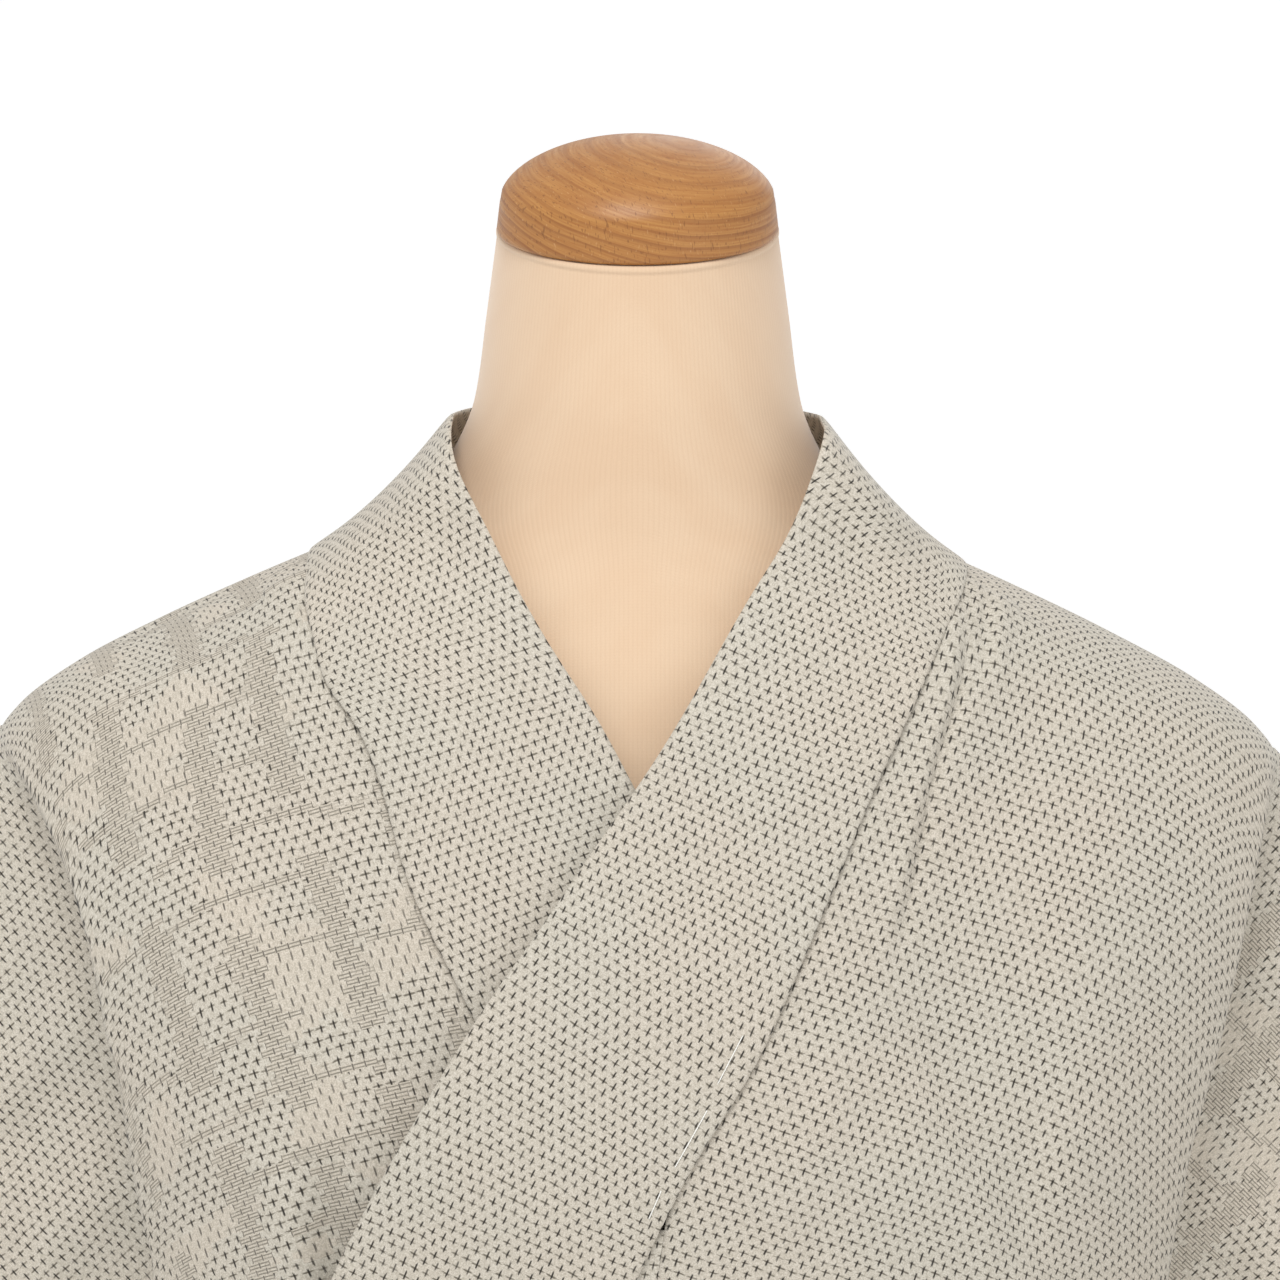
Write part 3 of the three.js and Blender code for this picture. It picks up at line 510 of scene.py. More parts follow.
def creaseDepth(points, face):
    # how far out each point of a grid moves, from its distance to each crease's line
    flat = tilted(points).reshape(-1, 3)
    total = np.zeros(len(flat))
    facing = flat[:, 1] * face > -6   # a little past the side, where the cloth turns
    for crease in creases.values():
        if crease["face"] != face:
            continue
        line = np.array(crease["points"], float)
        reach = abs(crease["lipAt"]) + 4 * crease["width"]
        near = facing & (flat[:, 0] > line[:, 0].min() - reach) & (flat[:, 0] < line[:, 0].max() + reach)
        near &= (flat[:, 2] > line[:, 1].min() - reach) & (flat[:, 2] < line[:, 1].max() + reach)
        index = np.nonzero(near)[0]
        if len(index) == 0:
            continue
        lengths = np.concatenate([[0], np.cumsum(np.hypot(*np.diff(line, axis=0).T))])
        fine = np.linspace(0, lengths[-1], 60)
        curve = naturalSpline(lengths, line)(fine)
        direction = np.gradient(curve, axis=0)
        direction /= np.linalg.norm(direction, axis=1)[:, None]
        offset = flat[index][:, None, [0, 2]] - curve[None]
        nearest = np.argmin((offset ** 2).sum(2), axis=1)
        picked = offset[np.arange(len(index)), nearest]
        heading = direction[nearest]
        across = -(picked[:, 0] * heading[:, 1] - picked[:, 1] * heading[:, 0])
        beyond = (picked * heading).sum(1)
        along = fine[nearest] / lengths[-1]
        fade = smoothStep(0, 0.25, along) * (1 - smoothStep(0.72, 1, along))
        fade = fade * np.exp(-(beyond / (1.5 * crease["width"])) ** 2)
        trough = crease["depth"] * np.exp(-(across / crease["width"]) ** 2)
        lip = crease["lip"] * np.exp(-((across - crease["lipAt"]) / (1.3 * crease["width"])) ** 2)
        total[index] += fade * (trough + lip)
    return total.reshape(points.shape[:-1])


def gridNormals(grid, loops=False):
    if loops:
        across = np.roll(grid, -1, axis=1) - np.roll(grid, 1, axis=1)
    else:
        across = np.gradient(grid, axis=1)
    down = np.gradient(grid, axis=0)
    normal = np.cross(across, down)
    length = np.linalg.norm(normal, axis=2)
    return normal / np.maximum(length, 1e-9)[..., None]


def outwardNormals(grid):
    # turned to point away from the body's upright middle line
    normal = gridNormals(grid)
    away = grid[..., :2] * np.array([0.3, 1.0])
    if (normal[..., :2] * away).sum() < 0:
        normal = -normal
    return normal


def withCreases(grid):
    normal = outwardNormals(grid)
    depth = np.where(grid[..., 1] < 0, creaseDepth(grid, frontFace), creaseDepth(grid, backFace))
    return grid + normal * depth[..., None]


def tilted(points):
    rise = smoothStep(tilt["foot"], tilt["full"], points[..., 2])
    rise = rise * (1 - smoothStep(tilt["fadeStart"], tilt["fadeEnd"], points[..., 2]))
    moved = points.copy()
    moved[..., 2] -= tilt["slope"] * points[..., 0] * rise
    return moved


def gridQuads(index):
    corners = [index[:-1, :-1], index[:-1, 1:], index[1:, 1:], index[1:, :-1]]
    return np.stack(corners, -1).reshape(-1, 4)


def shellMesh(name, grid, uv, thickness, loops=False, turned=None):
    # a closed wall round a grid of middle points in millimetres, with its cloth coordinates;
    # turned gives other coordinates, the first column that takes them, and the lowest height
    grid = tilted(grid)
    rows, columns = grid.shape[:2]
    normal = gridNormals(grid, loops)
    half = (thickness / 2 * np.ones(columns))[None, :, None]
    skins = [(grid + normal * half).reshape(-1, 3), (grid - normal * half).reshape(-1, 3)]
    points = np.concatenate(skins) * mm
    index = np.arange(rows * columns).reshape(rows, columns)
    if loops:
        index = np.concatenate([index, index[:, :1]], axis=1)
    far = rows * columns
    skin = gridQuads(index)
    faces = [skin, skin[:, ::-1] + far]
    rims = [(index[0], 1), (index[-1], -1)]
    if not loops:
        rims += [(index[:, 0], -1), (index[:, -1], 1)]
    for line, turn in rims:
        rim = np.stack([line[:-1], line[:-1] + far, line[1:] + far, line[1:]], -1)
        faces.append(rim[:, ::turn])
    faces = np.concatenate(faces)
    a, b, c, d = (points[faces[:, i]] for i in range(4))
    volume = (a * np.cross(b, c)).sum() + (a * np.cross(c, d)).sum()
    if volume < 0:
        faces = faces[:, ::-1]
    corners = np.concatenate([uv.reshape(-1, 2)] * 2)[faces] * mm
    if turned:
        otherUv, firstColumn, lowest = turned
        beyond = ((faces % columns).min(1) >= firstColumn) & (points[faces][..., 2].min(1) > lowest * mm)
        corners[beyond] = (np.concatenate([otherUv.reshape(-1, 2)] * 2)[faces] * mm)[beyond]
    return meshObject(name, points, faces, corners)


def meshObject(name, points, faces, corners):
    mesh = bpy.data.meshes.new(name)
    mesh.vertices.add(len(points))
    mesh.vertices.foreach_set("co", np.ascontiguousarray(points, np.float32).ravel())
    mesh.loops.add(faces.size)
    mesh.loops.foreach_set("vertex_index", np.ascontiguousarray(faces, np.int32).ravel())
    mesh.polygons.add(len(faces))
    mesh.polygons.foreach_set("loop_start", np.arange(0, faces.size, faces.shape[1], dtype=np.int32))
    mesh.update(calc_edges=True)
    mesh.polygons.foreach_set("use_smooth", np.ones(len(faces), bool))
    layer = mesh.uv_layers.new(name="cloth")
    layer.data.foreach_set("uv", np.ascontiguousarray(corners, np.float32).ravel())
    piece = bpy.data.objects.new(name, mesh)
    scene.collection.objects.link(piece)
    return piece


def finishPiece(piece, slot, material, *nodes):
    piece.data.materials.append(material)
    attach(piece, "root")
    if nodes:
        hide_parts(*nodes)


def lengthsAlong(grid, axis, start):
    steps = np.linalg.norm(np.diff(grid, axis=axis), axis=2)
    pad = [(0, 0), (0, 0)]
    pad[axis] = (1, 0)
    total = np.cumsum(np.pad(steps, pad), axis=axis)
    return total - np.take(total, [start], axis=axis)


def biasTurn(x, z):
    # the cloth that falls from the shoulder hangs on the bias, its grain turned by 45 degrees
    return np.stack([(z - x) * math.sqrt(0.5), (-z - x) * math.sqrt(0.5)], -1)


grain = {
    "leanReach": 420,
    "leanSlope": 0.2,
    "leanGrowth": 0.0003,
    "backShare": 0.5,
    "flatHigh": 0.19,
    "flatTurn": 90,
    "flatFoot": 330,
    "middle": 150,
}


def leaningGrain(across, down, flatLow):
    # the front's grain leans outwards towards the shoulder, its weft flatter than the shoulder line
    length = np.abs(down)
    near = np.minimum(length, grain["leanReach"])
    lean = grain["leanSlope"] * near + grain["leanGrowth"] * near ** 2
    lean = np.where(down < 0, 1.0, grain["backShare"]) * lean
    flatHigh, turn = grain["flatHigh"], grain["flatTurn"]
    flat = flatHigh * smoothStep(0, turn, length)
    flat = flat + (flatLow - flatHigh) * smoothStep(turn, grain["flatFoot"], length)
    return np.stack([across + lean, -np.sign(down) * (length + (across - grain["middle"]) * flat)], -1)


def clothAt(grid, uv, x, z):
    # the cloth coordinates of the front point nearest a place seen from the front
    distance = np.hypot(grid[..., 0] - x, grid[..., 2] - z) + np.where(grid[..., 1] > 0, 1000, 0)
    nearest = np.unravel_index(np.argmin(distance), distance.shape)
    return uv[nearest]


# Materials: one small class makes the nodes and their arithmetic

class Signal:
    def __init__(self, tree, socket):
        self.tree = tree
        self.socket = socket

    def math(self, operation, *values):
        return self.tree.node("ShaderNodeMath", {"operation": operation}, dict(enumerate(values)))

    def __add__(self, other):
        return self.math("ADD", self, other)

    def __radd__(self, other):
        return self.math("ADD", other, self)

    def __sub__(self, other):
        return self.math("SUBTRACT", self, other)

    def __rsub__(self, other):
        return self.math("SUBTRACT", other, self)

    def __mul__(self, other):
        return self.math("MULTIPLY", self, other)

    def __rmul__(self, other):
        return self.math("MULTIPLY", other, self)

    def __truediv__(self, other):
        return self.math("DIVIDE", self, other)

    def __rtruediv__(self, other):
        return self.math("DIVIDE", other, self)

    def floor(self):
        return self.math("FLOOR", self)

    def fract(self):
        return self.math("FRACT", self)

    def sine(self):
        return self.math("SINE", self)

    def size(self):
        return self.math("ABSOLUTE", self)

    def most(self, other):
        return self.math("MAXIMUM", self, other)

    def remainder(self, other):
        return self.math("FLOORED_MODULO", self, other)

    def ramp(self, low, high, to=(0, 1)):
        settings = {"interpolation_type": "SMOOTHSTEP"}
        return self.tree.node("ShaderNodeMapRange", settings, {0: self, 1: low, 2: high, 3: to[0], 4: to[1]})


class MaterialTree:
    def __init__(self, name):
        self.material = bpy.data.materials.new(name)
        self.material.use_nodes = True
        self.nodes = self.material.node_tree.nodes
        self.links = self.material.node_tree.links
        self.shader = self.nodes["Principled BSDF"]

    def node(self, kind, settings=None, values=None, output=0):
        made = self.nodes.new(kind)
        for key, value in (settings or {}).items():
            setattr(made, key, value)
        for key, value in (values or {}).items():
            socket = made.inputs[key]
            if isinstance(value, Signal):
                self.links.new(value.socket, socket)
            else:
                socket.default_value = value
        return Signal(self, made.outputs[output])

    def colourMix(self, factor, a, b):
        a, b = ((*end, 1) if isinstance(end, tuple) else end for end in (a, b))
        return self.node("ShaderNodeMix", {"data_type": "RGBA"}, {0: factor, 6: a, 7: b}, 2)

    def vector(self, x, y, z=0.0):
        return self.node("ShaderNodeCombineXYZ", None, {0: x, 1: y, 2: z})

    def parts(self, vector, count):
        # the vector's first values, turned from metres into millimetres
        split = self.node("ShaderNodeSeparateXYZ", None, {0: vector})
        return [Signal(self, split.socket.node.outputs[i]) * perMetre for i in range(count)]

    def clothPlace(self):
        return self.parts(self.node("ShaderNodeUVMap", {"uv_map": "cloth"}), 2)

    def objectPlace(self):
        return self.node("ShaderNodeTexCoord", None, None, 3)

    def noise(self, vector, scale, detail=2.0, roughness=0.5):
        values = {"Vector": vector, "Scale": scale, "Detail": detail, "Roughness": roughness}
        return self.node("ShaderNodeTexNoise", {"noise_dimensions": "3D"}, values)

    def speckle(self, vector):
        return self.node("ShaderNodeTexWhiteNoise", {"noise_dimensions": "2D"}, {"Vector": vector})

    def connect(self, signal, name):
        self.links.new(signal.socket, self.shader.inputs[name])

    def bump(self, height, distance, strength):
        values = {"Height": height, "Distance": distance, "Strength": strength}
        self.connect(self.node("ShaderNodeBump", None, values), "Normal")

    def constants(self, **values):
        for name, value in values.items():
            self.shader.inputs[name.replace("_", " ")].default_value = value


def fromSrgb(*levels):
    # 0 to 255 as a screen shows them, into the linear values that a shader takes
    shares = [level / 255 for level in levels]
    return tuple(share / 12.92 if share < 0.04045 else ((share + 0.055) / 1.055) ** 2.4 for share in shares)


# Silk with woven-in crosses: grey weft dashes across darker warp dashes, in staggered rows.
# In a panel's motif, upright bars and wavy lines of small bricks stand among plain warp dashes

silk = {
    "ground": fromSrgb(203, 196, 182),
    "groundWarm": fromSrgb(207, 196, 182),
    "groundCool": fromSrgb(201, 196, 184),
    "groundLight": fromSrgb(224, 218, 206),
    "groundDark": fromSrgb(156, 148, 132),
    "motifGround": fromSrgb(206, 194, 178),
    "warpDash": fromSrgb(36, 32, 27),
    "weftDash": fromSrgb(88, 81, 68),
    "brick": fromSrgb(92, 88, 77),
    "acrossPitch": 3.85,
    "rowPitch": 3.4,
    "warpReach": 1.5,
    "weftReach": 1.42,
    "dashHalfWidth": 0.25,
    "brickPitch": 2.2,
    "barPitch": 27,
    "barHalfWidth": 4.2,
    "barPeriod": 74,
    "barShare": 0.75,
    "linePitch": 20,
    "lineHalfWidth": 1.3,
    "lineGap": 34,
    "lineShift": 60,
    "patchFrom": 0.56,
    "patchTo": 0.58,
    "bump": 0.0003,
}


def crossDashes(tree, across, along, vector):
    # the warp and weft dashes of the crosses, with a seed for each pick of the weave
    pitch, rowPitch, width = silk["acrossPitch"], silk["rowPitch"], silk["dashHalfWidth"]
    drift = tree.noise(vector, 0.045, 1.0) - 0.5
    rowPlace = (along + drift * 3.0) / rowPitch
    row = rowPlace.floor()
    cellPlace = (across + drift * 2.0) / pitch + row.remainder(2) * 0.5
    cell = cellPlace.floor()
    seedA = tree.speckle(tree.vector(cell, row))
    seedB = tree.speckle(tree.vector(cell + 31.7, row + 12.3))
    inRow = (rowPlace.fract() - 0.5) * rowPitch + (seedB - 0.5) * 0.5
    inCell = (cellPlace.fract() - 0.5) * pitch + (seedA - 0.5) * 0.4
    threadSeed = tree.speckle(tree.vector((across * 4.2).floor(), row))
    pickSeed = tree.speckle(tree.vector(cell, (along * 3.6).floor() + 40))
    warp = inCell.size().ramp(width - 0.1, width + 0.16, (1, 0))
    warpReach = silk["warpReach"] + (threadSeed - 0.5) * 0.7
    warp = warp * (inRow.size() - warpReach).ramp(-0.7, 0.25, (1, 0)) * seedB.ramp(0, 0.6, (0.8, 1))
    weftRow = inRow + 0.3
    weftPlace = inCell - 0.2
    weft = weftRow.size().ramp(width - 0.1, width + 0.19, (1, 0))
    weftReach = silk["weftReach"] + (pickSeed - 0.5) * 1.0
    weft = weft * (weftPlace.size() - weftReach).ramp(-0.5, 0.35, (1, 0)) * seedA.ramp(0, 0.7, (0.62, 1))
    return warp, weft, pickSeed


def brickMotif(tree, across, along, motifs):
    # small bricks in upright bars and wavy twin lines; area is the plain ground among them
    pitch, brickPitch = silk["acrossPitch"], silk["brickPitch"]
    area = bricks = None
    brickPlace = along / brickPitch
    brickRow = brickPlace.floor()
    brickCellPlace = across / pitch + brickRow.remainder(2) * 0.5
    brickCell = brickCellPlace.floor()
    middleAcross = (brickCell + 0.5 - brickRow.remainder(2) * 0.5) * pitch
    middleAlong = (brickRow + 0.5) * brickPitch
    inBrickRow = ((brickPlace.fract() - 0.5) * brickPitch).size()
    inBrick = ((brickCellPlace.fract() - 0.5) * pitch).size()
    for centre, first, last, reach in motifs:
        inMotif = (middleAcross - centre).size().ramp(reach - 0.5, reach + 0.5, (1, 0))
        inMotif = inMotif * middleAlong.ramp(first - 1, first + 1)
        inMotif = inMotif * middleAlong.ramp(last - 1, last + 1, (1, 0))
        barPlace = (middleAcross - centre) / silk["barPitch"] + 0.5
        bar = barPlace.floor()
        barSeed = tree.speckle(tree.vector(bar, 3.7))
        sway = (middleAlong * 0.031 + barSeed * 6.0).sine() * 2.2
        inBar = ((barPlace.fract() - 0.5) * silk["barPitch"] + sway).size()
        barEnd = silk["barShare"]
        barOn = (middleAlong / silk["barPeriod"] + barSeed).fract()
        barOn = barOn.ramp(barEnd - 0.005, barEnd + 0.005, (1, 0))
        bars = inBar.ramp(silk["barHalfWidth"] - 0.4, silk["barHalfWidth"] + 0.4, (1, 0)) * barOn
        wave = (middleAcross * 0.085 + 1.0).sine() * 2.0 + (middleAcross * 0.19).sine() * 0.9
        linePlace = (middleAlong + wave) / silk["linePitch"]
        lineSeed = tree.speckle(tree.vector(linePlace.floor(), 9.1))
        inLine = ((linePlace.fract() - 0.5) * silk["linePitch"]).size()
        lines = inLine.ramp(silk["lineHalfWidth"] - 0.2, silk["lineHalfWidth"] + 0.2, (1, 0))
        lineMiddle = middleAcross - centre + (lineSeed - 0.5) * silk["lineShift"]
        lines = lines * lineMiddle.size().ramp(silk["lineGap"], silk["lineGap"] + 1, (1, 0))
        here = bars.most(lines) * inMotif
        patch = tree.noise(tree.vector(middleAcross, middleAlong, 5.0), 0.035, 1.0)
        near = (middleAcross - centre).size().ramp(reach - 2, reach + 10, (1, 0))
        near = near * middleAlong.ramp(first - 8, first + 2)
        near = near * middleAlong.ramp(last - 2, last + 8, (1, 0))
        plain = near * patch.ramp(silk["patchFrom"], silk["patchTo"])
        bricks = here if bricks is None else bricks.most(here)
        area = plain if area is None else area.most(plain)
    edges = (inBrickRow - 0.52).size().ramp(0.1, 0.34, (1, 0)) * inBrick.ramp(1.5, 1.75, (1, 0))
    ticks = (pitch / 2 - inBrick).ramp(0.12, 0.34, (1, 0)) * inBrickRow.ramp(0.85, 1.1, (1, 0.3))
    return area, bricks, edges, ticks


def silkMaterial(name, motifs=()):
    tree = MaterialTree(name)
    across, along = tree.clothPlace()
    vector = tree.vector(across, along)
    warp, weft, pickSeed = crossDashes(tree, across, along, vector)
    if motifs:
        area, bricks, edges, ticks = brickMotif(tree, across, along, motifs)
        brickEdges = edges * bricks * pickSeed.ramp(0, 0.5, (0.6, 1))
        brickTicks = ticks * bricks
        weft = weft * (1 - area) * (1 - bricks)
        warp = warp * (1 - bricks) * (1 - area * 0.2)

    cloud = tree.noise(vector, 0.014, 2.0)
    slubAcross = tree.noise(tree.vector(across * 0.5, along * 3.2), 1.0, 3.0, 0.65)
    slubAlong = tree.noise(tree.vector(across * 3.2, along * 0.5, 7.0), 1.0, 3.0, 0.65)
    fleck = tree.speckle(tree.vector((across * 2.9).floor(), (along * 2.9).floor() + 11))
    ground = tree.colourMix(cloud.ramp(0.35, 0.65), silk["groundCool"], silk["groundWarm"])
    ground = tree.colourMix(0.45, ground, silk["ground"])
    if motifs:
        ground = tree.colourMix(area.most(bricks) * 0.5, ground, silk["motifGround"])
    ground = tree.colourMix(slubAcross.ramp(0.5, 0.68, (0, 0.6)), ground, silk["groundLight"])
    ground = tree.colourMix(slubAlong.ramp(0.5, 0.32, (0, 0.5)), ground, silk["groundDark"])
    ground = tree.colourMix(fleck.ramp(0.0, 1.0, (0.5, 0)), ground, silk["groundDark"])
    colour = tree.colourMix(weft * 0.85, ground, silk["weftDash"])
    if motifs:
        colour = tree.colourMix(brickEdges * 0.72, colour, silk["brick"])
        colour = tree.colourMix(brickTicks * 0.75, colour, silk["warpDash"])
    colour = tree.colourMix(warp * 0.96, colour, silk["warpDash"])
    tree.connect(colour, "Base Color")
    tree.bump((slubAcross + slubAlong) * 0.5 + fleck * 0.15, silk["bump"], 0.5)
    tree.constants(Roughness=0.7, Sheen_Weight=0.15, Sheen_Roughness=0.5, Specular_IOR_Level=0.25)
    return tree.material


silkCloth = silkMaterial("silk")
print("kimono: silk made")


# Where the collar lies, which the panels rise to meet

collarNeckRows = [
    # seam x, y, z, then the top edge, then the sag between
    (0, 91, 1484, 0, 96, 1535, 0),
    (24, 90, 1485, 18, 93, 1536, 0),
    (50, 82, 1487.5, 36, 82, 1538, 1),
    (76, 65, 1492, 50, 62, 1540, 2.5),
    (98.5, 38, 1495, 59, 36, 1540.5, 3.5),
    (108, 10, 1494, 61, 8, 1541.5, 4),
    (109.5, -18, 1494.2, 61.5, -14, 1541, 4),
]
collarOverRows = [
    # seam x, z, inner edge x, z, lift
    (106.5, 1488, 60, 1535, 5),
    (101.5, 1479, 52, 1514, 5),
    (95, 1466, 40, 1494, 5.5),
    (85, 1446, 27, 1473, 6),
    (76, 1428, 14.5, 1452, 7.5),
    (63.5, 1400, 0, 1430, 10),
    (50.5, 1371, -17, 1406, 12),
    (36.5, 1342, -33, 1383, 13),
    (22, 1319, -48, 1362, 12.8),
    (7, 1291, -68, 1330, 12.8),
    (-12, 1250, -92, 1286, 12.4),
    (-32, 1205, -110, 1240, 11),
    (-46, 1155, -122, 1187, 10),
    (-60, 1105, -134, 1129, 9.6),
    (-72, 1055, -142, 1074, 9.6),
    (-77.5, 1028, -145, 1044, 9.6),
    (-83, 1000, -146, 1014, 9.6),
    (-98, 920, -155, 928, 9.6),
    (-103, 885, -159, 890, 9.6),
    (-108, 850, -163, 852, 9.6),
]
collarUnderRows = [
    (109, 1482.5, 59.5, 1529, 5),
    (106, 1472.5, 50, 1510, 5),
    (101, 1458, 38, 1488, 4.6),
    (91.5, 1446, 26, 1469, 4.6),
    (82, 1424, 13, 1450, 4.6),
    (74, 1398, 0, 1427, 4.6),
    (59, 1368, -15, 1402, 4.6),
    (45, 1342, -30, 1378, 4.6),
    (31, 1319, -45, 1356, 4.3),
    (13, 1291, -65, 1328, 4.4),
]
collarUnderRows += [row[:4] + (4.6,) for row in collarOverRows[10:]]


def collarPoint(x, z, lift, side):
    if z > 1480:
        width, front, _, _ = outlineAt(min(z, 1500), lift)
        reach = min(abs(x) / float(width), 0.97)
        depth = float(front) - max(z - 1500, 0) * 0.35
        return side * x, -depth * math.sqrt(1 - reach ** 2), z
    guess = x
    for _ in range(4):
        share = float(shareOfX(guess, z)) if z > 1300 else guess / perimeterAt(z)
        share = -abs(share) if guess < 0 else abs(share)
        point = clothPoint(np.array([side * share]), z, lift)[0]
        guess += x - side * point[0]
    return tuple(point)


rise = {
    "foot": 1040,        # the collar's rows above this height lift the panel
    "clearance": 1.7,    # how far under the collar's middle the panel stays
    "reach": 46,
    "fade": 60,
}


def seamRise(grid, side, rows):
    # lifts a panel's front towards the collar's outer edge, fading away from the seam
    lines = [(row[0], row[1], row[4]) for row in rows if row[1] > rise["foot"]]
    seam = np.array([collarPoint(x, z, lift, side) for x, z, lift in lines])
    lengths = np.concatenate([[0], np.cumsum(np.linalg.norm(np.diff(seam, axis=0), axis=1))])
    seam = naturalSpline(lengths, seam)(np.linspace(0, lengths[-1], 160))
    normal = outwardNormals(grid)
    flat, facing = grid.reshape(-1, 3), normal.reshape(-1, 3)
    front = np.nonzero(flat[:, 1] < -30)[0]
    gaps = np.empty(len(seam))
    for i, point in enumerate(seam):
        near = front[np.argmin(((flat[front] - point) ** 2).sum(1))]
        gaps[i] = max(0, (point - flat[near]).dot(facing[near]) - rise["clearance"])
    kernel = np.exp(-np.linspace(-2, 2, 21) ** 2)
    gaps = np.convolve(np.pad(gaps, 10, mode="edge"), kernel / kernel.sum(), mode="valid")
    offset = flat[front][:, None, [0, 2]] - seam[None][..., [0, 2]]
    distance = (offset ** 2).sum(2)
    nearest = np.argmin(distance, axis=1)
    distance = np.sqrt(distance[np.arange(len(front)), nearest])
    lifted = np.zeros(len(flat))
    low = 1 - smoothStep(0, rise["fade"], seam[-1][2] - flat[front, 2])
    lifted[front] = gaps[nearest] * (1 - smoothStep(0, rise["reach"], distance)) * low
    return grid + normal * lifted.reshape(grid.shape[:-1])[..., None]


# Body panels

def smoothRows(grid, middles, passes):
    # evens out the change of slope where the shoulder's rows meet those below
    rows = np.arange(len(grid))
    weight = np.zeros(len(grid))
    for middle in middles:
        weight = np.maximum(weight, 1 - smoothStep(5, 12, np.abs(rows - middle)))
    weight[[0, -1]] = 0
    beside = np.where(grid[..., 1] > 0, smoothStep(105, 135, np.abs(grid[..., 0])), 1)
    weight = weight[:, None] * beside
    for _ in range(passes):
        near = (np.roll(grid, 1, axis=0) + np.roll(grid, -1, axis=0)) / 2
        grid = grid + 0.5 * weight[..., None] * (near - grid)
    return grid


def bodyPanel(name, side, layer, node, motifPlaces):
    grid, ridge = bodyPanelGrid(side, layer)
    footRows = [ridge - archRows, ridge + archRows - 1]
    grid = smoothRows(grid, footRows, 70)
    across = lengthsAlong(grid, 1, 0) + (side * grid[:, :1, 0])
    down = lengthsAlong(grid, 0, ridge)
    uv = leaningGrain(across, down, 0.05 if layer == "over" else 0.25)
    grid = seamRise(grid, side, collarOverRows if layer == "over" else collarUnderRows[:10])
    grid = withCreases(grid)
    bias = biasTurn(side * grid[..., 0], grid[..., 2])
    motifs = []
    for x, z, turnedGrain, before, after, reach in motifPlaces:
        centre, middle = clothAt(grid, bias if turnedGrain else uv, x, z)
        motifs.append((float(centre), float(middle) - before, float(middle) + after, reach))
    turned = (bias, mainColumns + 3, cut["biasFoot"])
    piece = shellMesh(name, grid, uv, cut["clothThickness"], turned=turned)
    finishPiece(piece, "silk", silkMaterial(name, motifs), node)


bodyPanel("bodyLeft", 1, "over", "body_left", [(216, 1338, True, 60, 90, 40)])
bodyPanel("bodyRight", -1, "under", "body_right", [(-114, 1340, False, 190, 230, 54)])
print("kimono: body panels made")


# Overlap panels

def overlapPanel(name, side, layer, node):
    heights = panelHeights()
    heights = heights[heights < cut["overlapTop"]]
    rows = []
    uvRows = []
    for z in heights:
        perimeter = perimeterAt(z)
        seam = (valueAtHeight(overlapSeamTable, layer, z) - cut["seamGap"] / 2) / perimeter
        edge = valueAtHeight(overlapEdgeTable, "x", z) / perimeter
        edge = mix(-cut["frontEdgeShare"], edge, aboveCollarFoot(z))
        shares = np.linspace(seam, edge, 44)
        lift = overLift(shares, z) if layer == "over" else 0 * shares + cut["innerLift"]
        rows.append(clothPoint(side * shares, z, lift))
        across = shares * perimeter
        uvRows.append(np.stack([across + 0.18 * (1500 - z), 1500 - z - 0.12 * across], -1))
    grid = np.array(rows)
    if layer == "over":
        grid = seamRise(grid, side, collarOverRows)
    grid = withCreases(grid)
    piece = shellMesh(name, grid, np.array(uvRows), cut["clothThickness"])
    finishPiece(piece, "silk", silkCloth, node)


overlapPanel("overlapLeft", 1, "over", "overlap_left")
overlapPanel("overlapRight", -1, "under", "overlap_right")


# Collar

def collarRow(row, side):
    points = []
    for share in np.linspace(0, 1, 5):
        if len(row) == 7:
            x, y, z = (mix(row[i], row[i + 3], share) for i in range(3))
            points.append((side * x, y, z - row[6] * 4 * share * (1 - share)))
        else:
            x, z = (mix(row[i], row[i + 2], share) for i in range(2))
            points.append(collarPoint(x, z, row[4], side))
    return points


def collarGrid():
    rows = [collarRow(row, 1) for row in collarOverRows[::-1]]
    rows += [collarRow(row, 1) for row in collarNeckRows[::-1]]
    rows += [collarRow(row, -1) for row in collarNeckRows[1:]]
    rows += [collarRow(row, -1) for row in collarUnderRows]
    coarse = np.array(rows)
    middle = coarse[:, 2]
    lengths = np.concatenate([[0], np.cumsum(np.linalg.norm(np.diff(middle, axis=0), axis=1))])
    fine = naturalSpline(lengths, coarse)(np.linspace(0, lengths[-1], 420))
    edge = 0.06   # closer columns along both edges, where the band rounds over
    places = [np.linspace(0, edge, 6)[:-1], np.linspace(edge, 1 - edge, 24), np.linspace(1 - edge, 1, 6)[1:]]
    places = np.concatenate(places)
    across = naturalSpline(np.linspace(0, 1, 5), np.swapaxes(fine, 0, 1))
    return np.swapaxes(across(places), 0, 1), places


band = {
    "edge": 0.35,
    "swell": 2.1,
    "squareness": 18,
}


def collarBand():
    grid, places = collarGrid()
    across = lengthsAlong(grid, 1, 0)
    along = lengthsAlong(grid, 0, 0)[:, len(places) // 2][:, None] + 0 * across
    thickness = band["edge"] + band["swell"] * (1 - np.abs(2 * places - 1) ** band["squareness"]) ** 0.5
    piece = shellMesh("collarBand", grid, np.stack([across, along], -1), thickness)
    finishPiece(piece, "silk", silkCloth, "collar")
    return piece


collarPiece = collarBand()
print("kimono: collar made")


# Sleeves

